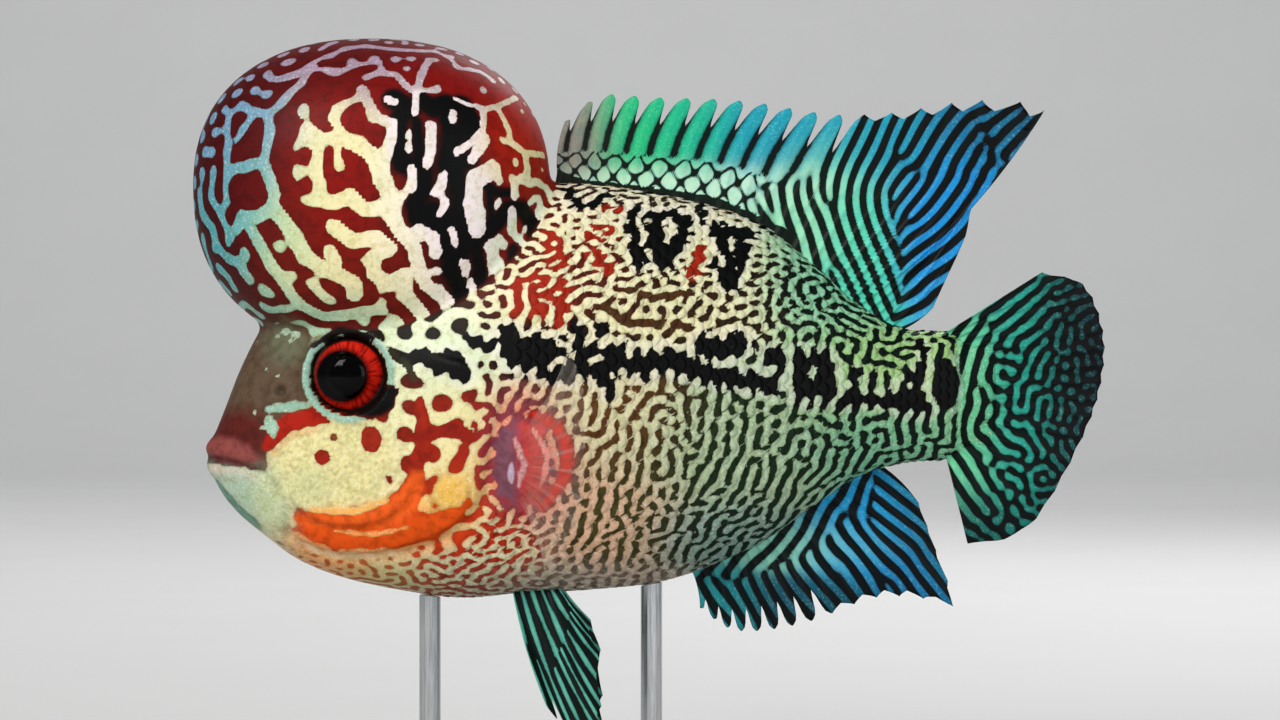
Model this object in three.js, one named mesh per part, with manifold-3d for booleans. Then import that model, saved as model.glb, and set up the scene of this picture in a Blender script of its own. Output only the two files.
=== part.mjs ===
// A flowerhorn cichlid, life size, held still above a flat stand by two short rods.
// Sizes are in millimetres. +X runs from the snout to the tail, -Y is the fish's left side and +Z is up.
// The origin is the middle of the stand's underside.
import * as THREE from "three";
import { mergeVertices } from "three/addons/utils/BufferGeometryUtils.js";
import Module from "manifold-3d";

const wasm = await Module();
wasm.setup();

const GAP = 0.3; // between two pieces that touch
const FLATNESS = 0.05; // how far a surface may move where its triangles are merged
const RIGHT = 1; // the sign of Y on the fish's right side
const LEFT = -1;

// The body without its hump, from the lips to the root of the tail fin. Each station is
// [x, top, bottom, half width, height of the widest point, how pinched the back is, how pinched the belly is].
const BODY_STATIONS = [
  [-47.2, 55.4, 53.9, 0.6, 54.6, 1.0, 1.0],
  [-46.6, 57.4, 51.6, 3.7, 54.4, 0.8, 0.8],
  [-45.1, 61.2, 48.8, 5.6, 54.2, 0.85, 0.8],
  [-42.6, 67.6, 46.0, 7.4, 54.6, 0.95, 0.8],
  [-39.4, 73.4, 43.4, 8.9, 55.8, 1.05, 0.8],
  [-34.7, 77.6, 40.0, 10.3, 57.4, 1.15, 0.85],
  [-28.4, 80.6, 37.5, 11.8, 58.6, 1.2, 0.9],
  [-20.0, 84.2, 35.7, 13.3, 59.6, 1.2, 0.9],
  [-12.0, 88.8, 34.8, 14.4, 60.2, 1.15, 0.9],
  [-4.0, 92.4, 35.4, 14.7, 60.8, 1.15, 0.9],
  [6.0, 92.6, 35.9, 14.4, 61.4, 1.15, 0.9],
  [17.0, 91.0, 37.3, 13.5, 62.2, 1.15, 0.95],
  [28.7, 87.6, 41.8, 11.5, 62.8, 1.15, 1.0],
  [36.5, 82.0, 47.0, 9.3, 63.2, 1.1, 1.0],
  [43.5, 75.8, 51.6, 6.9, 63.4, 1.05, 1.0],
  [50.0, 72.4, 53.5, 4.9, 63.4, 1.0, 1.0],
  [56.0, 72.1, 54.1, 3.5, 63.2, 1.0, 1.0],
  [59.0, 70.4, 55.6, 2.4, 63.2, 1.0, 1.0],
];
const BODY_RINGS = 54;
const BODY_SIDES = 40;

// The nuchal hump, a full egg that is fuller below than above.
const HUMP = { x: -24.6, z: 92.1, long: 24.9, up: 20.8, down: 22.6, wide: 17.2, fullness: 2.3 };
const HUMP_RINGS = 18;
const HUMP_SIDES = 32;

const EYE = { x: -27.0, z: 65.9, radius: 5.2, depth: 3.7, standsProud: 1.35 };
const IRIS_RADIUS = 4.4;
const PUPIL_RADIUS = 2.9;
const NOSTRIL = { x: -36.6, z: 63.8, radius: 0.75, deep: 1.6 };
const LIP_RADIUS = 1.35;
const MOUTH = { front: [-47.2, 54.5], corner: [-40.0, 53.0] };

// Side outlines, as [x, z], of the cuts that part the fish.
const HEAD_REAR = [
  [-22.6, 30], [-22.4, 37.7], [-13.4, 43.6], [-9.6, 46.8], [-7.7, 51.2], [-7.4, 56.8],
  [-6.4, 62.4], [-7.0, 67.3], [-4.2, 76.4], [-1.0, 84.8], [0.4, 99],
];
const JAW_CUT = [[-40.0, 53.0], [-35.3, 50.6], [-34.4, 44.2], [-35.6, 36]];
const STALK_CUT_X = 45.5;
const GILL_COVER = [
  [-13.4, 65.6], [-14.4, 59.6], [-17.4, 52.9], [-22.3, 48.0], [-29.1, 46.0], [-33.3, 46.6], [-33.6, 44.0],
  [-31.0, 42.2], [-27.3, 41.4], [-22.0, 41.5], [-16.5, 42.7], [-12.6, 44.4], [-9.2, 46.9], [-6.9, 49.6],
  [-6.4, 55.0], [-5.5, 59.8], [-5.0, 63.3], [-6.4, 66.8], [-9.7, 68.0],
];
const GILL_COVER_PROUD = 0.55;
const GILL_COVER_DEEP = 1.2;

// Fins. A key ray is [index, root x, root z, tip x, tip z], and the rays between are interpolated.
const DORSAL = {
  keys: [
    [0, 1.3, 94.2, 2.4, 101.4], [1.5, 5.2, 92.6, 7.3, 105.0], [3.6, 10.8, 91.8, 14.3, 104.8],
    [7.2, 22.0, 90.2, 27.6, 104.3], [10.8, 31.8, 86.0, 40.2, 102.5], [13, 37.0, 81.8, 48.3, 102.8],
    [16, 41.6, 77.8, 61.2, 104.7], [18, 44.0, 76.0, 70.0, 103.3], [20, 46.2, 74.3, 61.9, 97.4],
    [22, 48.3, 72.9, 58.8, 85.5], [23, 49.7, 72.2, 54.2, 75.4],
  ],
  spines: 12, rows: 7, bow: 0.05, rootDepth: 4, rootHalf: 0.8, tipHalf: 0.3, webHalf: 0.4, webTipHalf: 0.25,
};
const ANAL = {
  keys: [
    [0, 20.2, 38.4, 21.3, 33.3], [2, 23.0, 39.2, 25.1, 30.5], [4, 26.2, 40.6, 29.3, 30.0],
    [7, 30.8, 43.3, 37.0, 31.4], [10, 35.7, 46.5, 46.2, 34.6], [12, 38.9, 49.0, 52.8, 34.4],
    [13, 40.6, 50.3, 57.0, 33.3], [15, 43.7, 52.4, 54.6, 41.2], [17, 46.5, 53.4, 52.1, 47.9],
  ],
  spines: 8, rows: 7, bow: -0.05, rootDepth: 4, rootHalf: 0.75, tipHalf: 0.3, webHalf: 0.4, webTipHalf: 0.25,
};
const CAUDAL = {
  keys: [
    [0, 56.2, 72.0, 69.7, 80.4], [2, 57.0, 71.1, 75.6, 78.8], [5, 58.1, 68.3, 78.5, 72.2],
    [8, 58.5, 64.5, 78.3, 64.8], [11, 58.2, 59.9, 75.6, 57.1], [14, 57.4, 56.3, 68.9, 45.6],
    [15, 56.8, 55.0, 64.4, 42.7], [16, 56.1, 54.2, 59.1, 42.1],
  ],
  spines: 0, rows: 8, bow: 0, rootDepth: 5, rootHalf: 1.15, tipHalf: 0.3, webHalf: 0.8, webTipHalf: 0.25,
};
const PELVIC = {
  keys: [
    [0, -5.0, 36.8, 0.0, 20.4], [1, -3.9, 36.8, 6.9, 10.6], [2, -2.5, 36.8, 7.8, 15.5],
    [3, -1.1, 36.8, 7.6, 20.4], [4, 0.1, 36.8, 7.3, 26.7], [5, 1.3, 36.9, 5.9, 30.9],
  ],
  spines: 1, rows: 8, bow: 0.03, rootDepth: 3, rootHalf: 0.7, tipHalf: 0.28, webHalf: 0.4, webTipHalf: 0.25,
  rootY: 2.6, tipY: 8.2,
};
const PECTORAL = {
  rays: 12, rows: 6, rootX: -3.6, rootTop: 57.0, rootBottom: 49.6, rootDepth: 3.5,
  awayDegrees: 66, topDegrees: 36, bottomDegrees: -46, longest: 24, shortest: 14,
  rootHalf: 0.85, tipHalf: 0.28, webHalf: 0.5, webTipHalf: 0.25,
};
const SPINE_NOTCH = 0.7; // how far the web reaches up between two spines
const SOFT_NOTCH = 0.93; // and between two soft rays

const STAND = { long: 88, wide: 52, thick: 6, edge: 1.2, corner: 14, rodRadius: 1.5, socketDeep: 3 };
const ROD_X = { front: -16.5, rear: 14.5 };
const TAIL_BEND = { start: 4, rate: 0.0011 }; // the tail swings to the right as rate times distance squared

// Number helpers

const mix = (a, b, t) => a + (b - a) * t;
const clamp01 = (t) => Math.min(1, Math.max(0, t));

// A smooth curve through rows that share one length. The first column is the place along it.
function through(rows, at) {
  const place = rows.map((row) => row[0]);
  let i = 0;
  while (i < rows.length - 2 && at > place[i + 1]) i += 1;
  const slope = (j, column) => {
    const a = Math.max(0, j - 1);
    const b = Math.min(rows.length - 1, j + 1);
    return (rows[b][column] - rows[a][column]) / (place[b] - place[a]);
  };
  const width = place[i + 1] - place[i];
  const t = (at - place[i]) / width;
  const t2 = t * t;
  const t3 = t2 * t;
  return rows[i].map(
    (value, column) =>
      (2 * t3 - 3 * t2 + 1) * value +
      (t3 - 2 * t2 + t) * width * slope(i, column) +
      (3 * t2 - 2 * t3) * rows[i + 1][column] +
      (t3 - t2) * width * slope(i + 1, column),
  );
}

// Solids

function solidOf(geometry) {
  const bare = geometry.clone();
  bare.deleteAttribute("normal");
  bare.deleteAttribute("uv");
  const merged = mergeVertices(bare, 1e-4);
  const triVerts = new Uint32Array(merged.index.array);
  const make = () =>
    new wasm.Manifold(new wasm.Mesh({ numProp: 3, vertProperties: merged.attributes.position.array, triVerts }));
  const made = make();
  if (made.volume() > 0) return made;
  for (let i = 0; i < triVerts.length; i += 3) {
    [triVerts[i], triVerts[i + 1]] = [triVerts[i + 1], triVerts[i]];
  }
  return make();
}

// A sphere's grid, with every point put in place by its share round (0 to 1) and along (0 at one pole, 1 at the other).
function roundSolid(sides, rings, place) {
  const geometry = new THREE.SphereGeometry(1, sides, rings);
  const { position, uv } = geometry.attributes;
  for (let i = 0; i < position.count; i += 1) {
    const along = 1 - uv.getY(i);
    const pole = along < 1e-6 || along > 1 - 1e-6;
    position.setXYZ(i, ...place(pole || uv.getX(i) > 1 - 1e-6 ? 0 : uv.getX(i), along));
  }
  return solidOf(geometry);
}

// A thin closed sheet of columns by rows, whose two faces are split into triangles alike.
function sheetSolid(columns, rows, place) {
  const points = [];
  const index = [];
  const at = (side, i, j) => (side * columns + i) * rows + j;
  for (let side = 0; side < 2; side += 1) {
    for (let i = 0; i < columns; i += 1) {
      for (let j = 0; j < rows; j += 1) points.push(...place(i, j, side ? 1 : -1));
    }
  }
  const quad = (a, b, c, d) => index.push(a, b, c, a, c, d);
  for (let i = 0; i < columns - 1; i += 1) {
    for (let j = 0; j < rows - 1; j += 1) {
      quad(at(1, i, j), at(1, i + 1, j), at(1, i + 1, j + 1), at(1, i, j + 1));
      index.push(at(0, i, j), at(0, i + 1, j + 1), at(0, i + 1, j));
      index.push(at(0, i, j), at(0, i, j + 1), at(0, i + 1, j + 1));
    }
  }
  for (let i = 0; i < columns - 1; i += 1) {
    quad(at(0, i, 0), at(0, i + 1, 0), at(1, i + 1, 0), at(1, i, 0));
    quad(at(1, i, rows - 1), at(1, i + 1, rows - 1), at(0, i + 1, rows - 1), at(0, i, rows - 1));
  }
  for (let j = 0; j < rows - 1; j += 1) {
    quad(at(1, 0, j), at(1, 0, j + 1), at(0, 0, j + 1), at(0, 0, j));
    quad(at(0, columns - 1, j), at(0, columns - 1, j + 1), at(1, columns - 1, j + 1), at(1, columns - 1, j));
  }
  const geometry = new THREE.BufferGeometry();
  geometry.setAttribute("position", new THREE.Float32BufferAttribute(points, 3));
  geometry.setIndex(index);
  return solidOf(geometry);
}

// A block as wide as the fish whose side outline is a smooth line through points, closed by straight corners.
function sideBlock(points, corners, from = -40, to = 40) {
  const line = new THREE.SplineCurve(points.map(([x, z]) => new THREE.Vector2(x, z)));
  const outline = line.getPoints(points.length * 2).concat(corners.map(([x, z]) => new THREE.Vector2(x, z)));
  const geometry = new THREE.ExtrudeGeometry(new THREE.Shape(outline), { depth: to - from, bevelEnabled: false });
  geometry.rotateX(Math.PI / 2);
  geometry.translate(0, to, 0);
  return solidOf(geometry);
}

function largest(solid) {
  return solid.decompose().sort((a, b) => b.volume() - a.volume())[0].simplify(FLATNESS);
}

// A closed side outline moved inwards by a distance.
function inset(points, distance) {
  const area = THREE.ShapeUtils.area(points.map(([x, y]) => new THREE.Vector2(x, y)));
  return points.map(([x, z], i) => {
    const [beforeX, beforeZ] = points[(i + points.length - 1) % points.length];
    const [afterX, afterZ] = points[(i + 1) % points.length];
    const step = (Math.sign(area) * distance) / Math.hypot(afterX - beforeX, afterZ - beforeZ);
    return [x - (afterZ - beforeZ) * step, z + (afterX - beforeX) * step];
  });
}

// The body

const STATION_ROWS = BODY_STATIONS.map((station, i) => [i, ...station]);

function ringAt(s, grow) {
  const [, x, top, bottom, half, middle, backPinch, bellyPinch] = through(STATION_ROWS, s * (BODY_STATIONS.length - 1));
  const end = mix(-grow, grow, clamp01(s * 12) * 0.5 + clamp01((s - 11 / 12) * 12) * 0.5);
  return { x: x + end, top: top + grow, bottom: bottom - grow, half: half + grow, middle, backPinch, bellyPinch };
}

function bodySolid(grow) {
  return roundSolid(BODY_SIDES, BODY_RINGS, (round, along) => {
    const ring = ringAt(along, grow);
    if (along < 1e-6 || along > 1 - 1e-6) return [ring.x, 0, ring.middle];
    const angle = round * 2 * Math.PI;
    const up = Math.sin(angle);
    const out = Math.cos(angle);
    const pinch = up > 0 ? ring.backPinch : ring.bellyPinch;
    const reach = up > 0 ? ring.top - ring.middle : ring.middle - ring.bottom;
    return [ring.x, ring.half * Math.sign(out) * Math.abs(out) ** pinch, ring.middle + reach * up];
  });
}

// The body's half width at a point of its side view, found on the ring that stands at x.
function halfWidthAt(x, z) {
  let low = 0;
  let high = 1;
  for (let i = 0; i < 30; i += 1) {
    const s = (low + high) / 2;
    if (ringAt(s, 0).x < x) low = s;
    else high = s;
  }
  const ring = ringAt(low, 0);
  const up = z > ring.middle ? (z - ring.middle) / (ring.top - ring.middle) : (ring.middle - z) / (ring.middle - ring.bottom);
  const pinch = z > ring.middle ? ring.backPinch : ring.bellyPinch;
  return ring.half * Math.sqrt(Math.max(0, 1 - up * up)) ** pinch;
}

function humpSolid(grow) {
  const power = 2 / HUMP.fullness;
  const swell = (v) => Math.sign(v) * Math.abs(v) ** power;
  return roundSolid(HUMP_SIDES, HUMP_RINGS, (round, along) => {
    const turn = round * 2 * Math.PI;
    const tilt = along * Math.PI;
    const rise = swell(Math.cos(tilt));
    const flat = swell(Math.sin(tilt));
    return [
      HUMP.x + (HUMP.long + grow) * flat * swell(Math.cos(turn)),
      (HUMP.wide + grow) * flat * swell(Math.sin(turn)),
      HUMP.z + (rise > 0 ? HUMP.up + grow : HUMP.down + grow) * rise,
    ];
  });
}

// The head's fine parts

function eyeSolid(side, grow) {
  const middle = side * (halfWidthAt(EYE.x, EYE.z) + EYE.standsProud - EYE.depth);
  const sides = 20;
  const rings = 11;
  return roundSolid(sides, rings, (round, along) => {
    const turn = round * 2 * Math.PI;
    const tilt = along * Math.PI;
    const across = (EYE.radius + grow) * Math.sin(tilt);
    // The pupil stands in a shallow ring, as the lens does behind the cornea.
    const groove = !grow && Math.cos(tilt) > 0 && Math.abs(across - (PUPIL_RADIUS + IRIS_RADIUS) / 2) < 0.8 ? 0.22 : 0;
    return [
      EYE.x + across * Math.cos(turn),
      middle + side * ((EYE.depth + grow) * Math.cos(tilt) - groove),
      EYE.z + across * Math.sin(turn),
    ];
  });
}

// A lip is a tube that follows the front of the mouth from one corner to the other.
function lipSolid(lift, radius) {
  const points = [];
  const steps = 9;
  for (let i = -steps; i <= steps; i += 1) {
    const share = Math.abs(i) / steps;
    const x = mix(MOUTH.front[0] + 0.9, MOUTH.corner[0], share ** 1.7);
    const z = mix(MOUTH.front[1], MOUTH.corner[1], share ** 1.7) + lift;
    const y = i === 0 ? 0 : Math.sign(i) * Math.max(0.2, halfWidthAt(x, z) - 0.5);
    points.push(new THREE.Vector3(x, y, z));
  }
  const path = new THREE.CatmullRomCurve3(points);
  const section = new THREE.Shape().absarc(0, 0, radius, 0, 2 * Math.PI);
  return solidOf(new THREE.ExtrudeGeometry(section, { steps: 18, extrudePath: path, curveSegments: 4 }));
}

function nostrilSolid(side) {
  const hole = new THREE.CylinderGeometry(NOSTRIL.radius, NOSTRIL.radius * 0.6, 2 * NOSTRIL.deep, 10);
  hole.translate(NOSTRIL.x, side * halfWidthAt(NOSTRIL.x, NOSTRIL.z), NOSTRIL.z);
  return solidOf(hole);
}

// Fins

// rayAt(index) gives the root, the tip and the bow of a ray as vectors. The web between two rays stops short of them.
function finSolid(fin, rayCount, rayAt, normal) {
  const columns = rayCount * 2 - 1;
  return sheetSolid(columns, fin.rows + 1, (i, j, side) => {
    const isRay = i % 2 === 0;
    const index = i / 2;
    const spiny = index < fin.spines;
    const { root, tip, bow } = rayAt(index);
    const along = new THREE.Vector3().subVectors(tip, root);
    const length = along.length();
    const reach = isRay ? 1 : spiny ? SPINE_NOTCH : SOFT_NOTCH;
    const v = mix(-fin.rootDepth / length, reach, j / fin.rows);
    const rise = Math.max(0, v);
    const half = isRay ? mix(fin.rootHalf, fin.tipHalf, rise ** 0.8) : mix(fin.webHalf, fin.webTipHalf, rise ** 0.5);
    const point = root.clone().addScaledVector(along, v).addScaledVector(bow, 4 * rise * (1 - rise));
    return point.addScaledVector(normal, side * half).toArray();
  });
}

function medianFin(fin) {
  const normal = new THREE.Vector3(0, 1, 0);
  const count = fin.keys[fin.keys.length - 1][0] + 1;
  return finSolid(fin, count, (index) => {
    const [, rootX, rootZ, tipX, tipZ] = through(fin.keys, index);
    const root = new THREE.Vector3(rootX, 0, rootZ);
    const tip = new THREE.Vector3(tipX, 0, tipZ);
    const bow = new THREE.Vector3(tipZ - rootZ, 0, rootX - tipX).multiplyScalar(fin.bow);
    return { root, tip, bow };
  }, normal);
}

function pelvicFin(side) {
  const normal = new THREE.Vector3(0, 0.93 * side, 0.36).normalize();
  return finSolid(PELVIC, PELVIC.keys.length, (index) => {
    const [, rootX, rootZ, tipX, tipZ] = through(PELVIC.keys, index);
    const root = new THREE.Vector3(rootX, side * PELVIC.rootY, rootZ);
    const tip = new THREE.Vector3(tipX, side * PELVIC.tipY, tipZ);
    const bow = new THREE.Vector3(tipZ - rootZ, 0, rootX - tipX).multiplyScalar(PELVIC.bow);
    return { root, tip, bow };
  }, normal);
}

function pectoralFin(side) {
  const fin = { ...PECTORAL, spines: 0 };
  const away = THREE.MathUtils.degToRad(fin.awayDegrees);
  const out = new THREE.Vector3(Math.cos(away), side * Math.sin(away), 0);
  const up = new THREE.Vector3(0, 0, 1);
  const normal = new THREE.Vector3().crossVectors(out, up);
  return finSolid(fin, fin.rays, (index) => {
    const share = index / (fin.rays - 1);
    const z = mix(fin.rootTop, fin.rootBottom, share);
    const root = new THREE.Vector3(fin.rootX, side * (halfWidthAt(fin.rootX, z) - 0.4), z);
    const angle = THREE.MathUtils.degToRad(mix(fin.topDegrees, fin.bottomDegrees, share));
    const length = mix(fin.longest, fin.shortest, clamp01(Math.abs(share - 0.25) / 0.75) ** 1.5);
    const tip = root.clone().addScaledVector(out, length * Math.cos(angle)).addScaledVector(up, length * Math.sin(angle));
    const bow = normal.clone().multiplyScalar(side * 0.05 * length);
    return { root, tip, bow };
  }, normal);
}

// The stand

function standBase() {
  const halfLong = STAND.long / 2 - STAND.edge;
  const halfWide = STAND.wide / 2 - STAND.edge;
  const corner = STAND.corner;
  const outline = new THREE.Shape();
  for (const [x, y, start] of [[1, 1, 0], [-1, 1, 0.5], [-1, -1, 1], [1, -1, 1.5]]) {
    const from = start * Math.PI;
    outline.absarc(x * (halfLong - corner), y * (halfWide - corner), corner, from, from + Math.PI / 2);
  }
  const plate = new THREE.ExtrudeGeometry(outline, {
    depth: STAND.thick - 2 * STAND.edge, bevelThickness: STAND.edge, bevelSize: STAND.edge, bevelSegments: 2, curveSegments: 6,
  });
  plate.translate(0, 0, STAND.edge);
  return Object.values(ROD_X).reduce((base, x) => base.subtract(rodSolid(x, GAP)), solidOf(plate));
}

function rodSolid(x, grow) {
  const low = STAND.thick - STAND.socketDeep - grow;
  const high = 45;
  const rod = new THREE.CylinderGeometry(STAND.rodRadius + grow, STAND.rodRadius + grow, high - low, 16);
  rod.rotateX(Math.PI / 2);
  rod.translate(x, 0, (high + low) / 2);
  return solidOf(rod);
}

// The whole fish, parted by thin cuts

const body = bodySolid(0);
const bodyGrown = bodySolid(GAP);
const humpGrown = humpSolid(GAP);
const coverBlock = (from, to, shrink = 0) => {
  const outline = inset(GILL_COVER, shrink);
  return sideBlock([...outline, outline[0]], [], from, to);
};
const coverCore = bodySolid(-GILL_COVER_DEEP);
const coverRoom = coverBlock(-40, 40).subtract(bodySolid(-GILL_COVER_DEEP - GAP));
const upperLip = lipSolid(LIP_RADIUS * 0.95, LIP_RADIUS);
const lowerLip = lipSolid(-LIP_RADIUS * 0.95, LIP_RADIUS);
const headBlock = sideBlock(HEAD_REAR, [[-70, 99], [-70, 30]]);
const headBlockGrown = sideBlock(HEAD_REAR.map(([x, z]) => [x + GAP, z]), [[-70, 99], [-70, 30]]);
const jawBlock = sideBlock(JAW_CUT, [[-70, 36], [-70, MOUTH.front[1] + 0.2], [MOUTH.front[0], MOUTH.front[1]]]);
const jawBlockGrown = sideBlock(JAW_CUT.map(([x, z]) => [x + GAP, z + GAP]), [
  [-70, 36], [-70, MOUTH.front[1] + 0.2 + GAP], [MOUTH.front[0], MOUTH.front[1] + GAP],
]);

function headSolid() {
  let head = body.intersect(headBlock).subtract(jawBlockGrown);
  head = head.add(upperLip.subtract(jawBlockGrown).subtract(lowerLip));
  head = head.subtract(humpGrown).subtract(coverRoom);
  for (const side of [LEFT, RIGHT]) head = head.subtract(eyeSolid(side, GAP)).subtract(nostrilSolid(side));
  return head;
}

function gillCover(side) {
  const block = side === LEFT ? coverBlock(-40, 0, GAP) : coverBlock(0, 40, GAP);
  return block.intersect(bodySolid(GILL_COVER_PROUD)).subtract(coverCore);
}

const trunk = body.subtract(headBlockGrown).subtract(humpGrown);
const stalkBlock = (x) => sideBlock([[x, 120], [x + 1.6, 64], [x, 20]], [[100, 20], [100, 120]]);

const solids = {
  nuchal_hump: humpSolid(0),
  head: headSolid(),
  lower_jaw: body.intersect(jawBlock).add(lowerLip.intersect(jawBlock)).subtract(coverRoom),
  gill_cover_left: gillCover(LEFT),
  gill_cover_right: gillCover(RIGHT),
  trunk: trunk.subtract(stalkBlock(STALK_CUT_X - GAP)).subtract(coverRoom),
  tail_stalk: body.intersect(stalkBlock(STALK_CUT_X)),
  dorsal_fin: medianFin(DORSAL).subtract(bodyGrown).subtract(humpGrown),
  anal_fin: medianFin(ANAL).subtract(bodyGrown),
  caudal_fin: medianFin(CAUDAL).subtract(bodyGrown),
  pectoral_fin_left: pectoralFin(LEFT).subtract(bodyGrown),
  pectoral_fin_right: pectoralFin(RIGHT).subtract(bodyGrown),
  pelvic_fin_left: pelvicFin(LEFT).subtract(bodyGrown),
  pelvic_fin_right: pelvicFin(RIGHT).subtract(bodyGrown),
  eye_left: eyeSolid(LEFT, 0),
  eye_right: eyeSolid(RIGHT, 0),
  stand_base: standBase(),
  stand_rod_front: rodSolid(ROD_X.front, 0).subtract(bodyGrown),
  stand_rod_rear: rodSolid(ROD_X.rear, 0).subtract(bodyGrown),
};

// Materials and the finished group

const paint = (color, roughness, metalness = 0) => new THREE.MeshStandardMaterial({ color, roughness, metalness });
const MATERIALS = {
  nuchal_hump: paint(0x8e1a12, 0.3),
  head: paint(0xcdb98a, 0.35),
  lower_jaw: paint(0xa9b69a, 0.35),
  gill_cover: paint(0xe0581c, 0.3),
  trunk: paint(0xb9c29a, 0.35),
  tail_stalk: paint(0x9bb88a, 0.35),
  fin: paint(0x1f8f9a, 0.4),
  eye: paint(0x8f0f0c, 0.08),
  stand_base: paint(0x2b2622, 0.45),
  stand_rod: paint(0xb8babd, 0.3, 1),
};

function materialOf(name) {
  const key = Object.keys(MATERIALS).find((start) => name.startsWith(start));
  return MATERIALS[key ?? "fin"];
}

function bendTail(x) {
  return x > TAIL_BEND.start ? TAIL_BEND.rate * (x - TAIL_BEND.start) ** 2 : 0;
}

function meshOf(name, solid) {
  const { numProp, numVert, vertProperties, triVerts } = largest(solid).getMesh();
  const position = new Float32Array(numVert * 3);
  const bends = !name.startsWith("stand");
  for (let i = 0; i < numVert; i += 1) {
    const [x, y, z] = vertProperties.subarray(i * numProp, i * numProp + 3);
    position.set([x, y + (bends ? bendTail(x) : 0), z], i * 3);
  }
  const geometry = new THREE.BufferGeometry();
  geometry.setAttribute("position", new THREE.BufferAttribute(position, 3));
  geometry.setIndex(new THREE.BufferAttribute(triVerts, 1));
  geometry.computeVertexNormals();
  const mesh = new THREE.Mesh(geometry, materialOf(name));
  mesh.name = name;
  return mesh;
}

const fish = new THREE.Group();
for (const [name, solid] of Object.entries(solids)) fish.add(meshOf(name, solid));
export default fish;
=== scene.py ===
# %% [markdown]
# # A flowerhorn cichlid above its display stand
# The model is a whole fish, with a deep flat body, a swollen hump on its forehead, spread fins and a coat
# of mazes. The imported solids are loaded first, because every piece below sits on them and shares their
# frame, in metres.

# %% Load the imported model
import math

import bmesh
import bpy
import numpy as np
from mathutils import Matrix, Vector
from mathutils.bvhtree import BVHTree


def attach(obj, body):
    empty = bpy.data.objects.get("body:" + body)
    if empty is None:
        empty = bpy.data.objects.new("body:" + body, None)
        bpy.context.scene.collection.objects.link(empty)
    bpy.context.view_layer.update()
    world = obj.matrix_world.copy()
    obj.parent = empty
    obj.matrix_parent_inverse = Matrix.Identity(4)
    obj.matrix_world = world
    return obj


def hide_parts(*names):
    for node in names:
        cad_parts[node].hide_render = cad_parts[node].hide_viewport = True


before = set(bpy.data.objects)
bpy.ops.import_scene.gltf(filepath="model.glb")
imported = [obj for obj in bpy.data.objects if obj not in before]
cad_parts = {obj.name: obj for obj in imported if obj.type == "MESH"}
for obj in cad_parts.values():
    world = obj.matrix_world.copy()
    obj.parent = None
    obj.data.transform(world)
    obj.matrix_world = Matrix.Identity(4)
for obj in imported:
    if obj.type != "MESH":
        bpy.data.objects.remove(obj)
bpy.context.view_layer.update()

MM = 0.001

# %% [markdown]
# The camera comes first. A long lens at the height of the flank gives the flat side view of an
# identification plate, and the fish keeps its true outline.

# %% Camera
FRAME_WIDTH = 179.2 * MM
FRAME_MIDDLE = (12.9 * MM, 68.0 * MM)
LENS, SENSOR = 100.0, 36.0
camera_data = bpy.data.cameras.new("side_camera")
camera_data.lens = LENS
camera_data.sensor_width = SENSOR
camera = bpy.data.objects.new("side_camera", camera_data)
camera.location = (FRAME_MIDDLE[0], -LENS / SENSOR * FRAME_WIDTH, FRAME_MIDDLE[1])
camera.rotation_euler = (math.radians(90), 0, 0)
bpy.context.scene.collection.objects.link(camera)
bpy.context.scene.camera = camera
print("camera distance in mm:", round(-camera.location.y / MM))

# %% [markdown]
# The body is a row of cross-sections, from the lips to the root of the tail. A smooth curve through the
# table gives every section between. The same helper later draws the fins, so it takes any table of
# numbers.


# %% Curves through tables
def through(rows, at):
    """A smooth curve through rows of one length, whose first column is the place along it."""
    rows = np.array(rows, float)
    at = np.atleast_1d(np.asarray(at, float))
    place = rows[:, 0]
    before = np.maximum(np.arange(len(rows)) - 1, 0)
    after = np.minimum(np.arange(len(rows)) + 1, len(rows) - 1)
    slope = (rows[after] - rows[before]) / (place[after] - place[before])[:, None]
    i = np.clip(np.searchsorted(place, at, side="right") - 1, 0, len(rows) - 2)
    width = (place[i + 1] - place[i])[:, None]
    t = (at - place[i])[:, None] / width
    t2, t3 = t * t, t * t * t
    near = (2 * t3 - 3 * t2 + 1) * rows[i] + (t3 - 2 * t2 + t) * width * slope[i]
    far = (3 * t2 - 2 * t3) * rows[i + 1] + (t3 - t2) * width * slope[i + 1]
    return near + far


def ease(low, high, value):
    """0 below low, 1 above high, and smooth between."""
    t = np.clip((np.asarray(value, float) - low) / (high - low), 0, 1)
    return t * t * (3 - 2 * t)


def bell(value, middle, width):
    """1 at the middle, and falling to 0 on both sides."""
    return np.exp(-(((value - middle) / width) ** 2))


def between(first, second, share):
    """The first value where share is 0, and the second where it is 1."""
    return first * (1 - share) + second * share


def oval(x, z, middle_x, middle_z, reach_x, reach_z):
    """0 in the middle of an oval, 1 on its edge and more outside."""
    return np.hypot((x - middle_x) / reach_x, (z - middle_z) / reach_z)


def sections(rows, at):
    """The rows of a table at places along it, counted in rows."""
    return through([(i, *row) for i, row in enumerate(rows)], at)[:, 1:]


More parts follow.
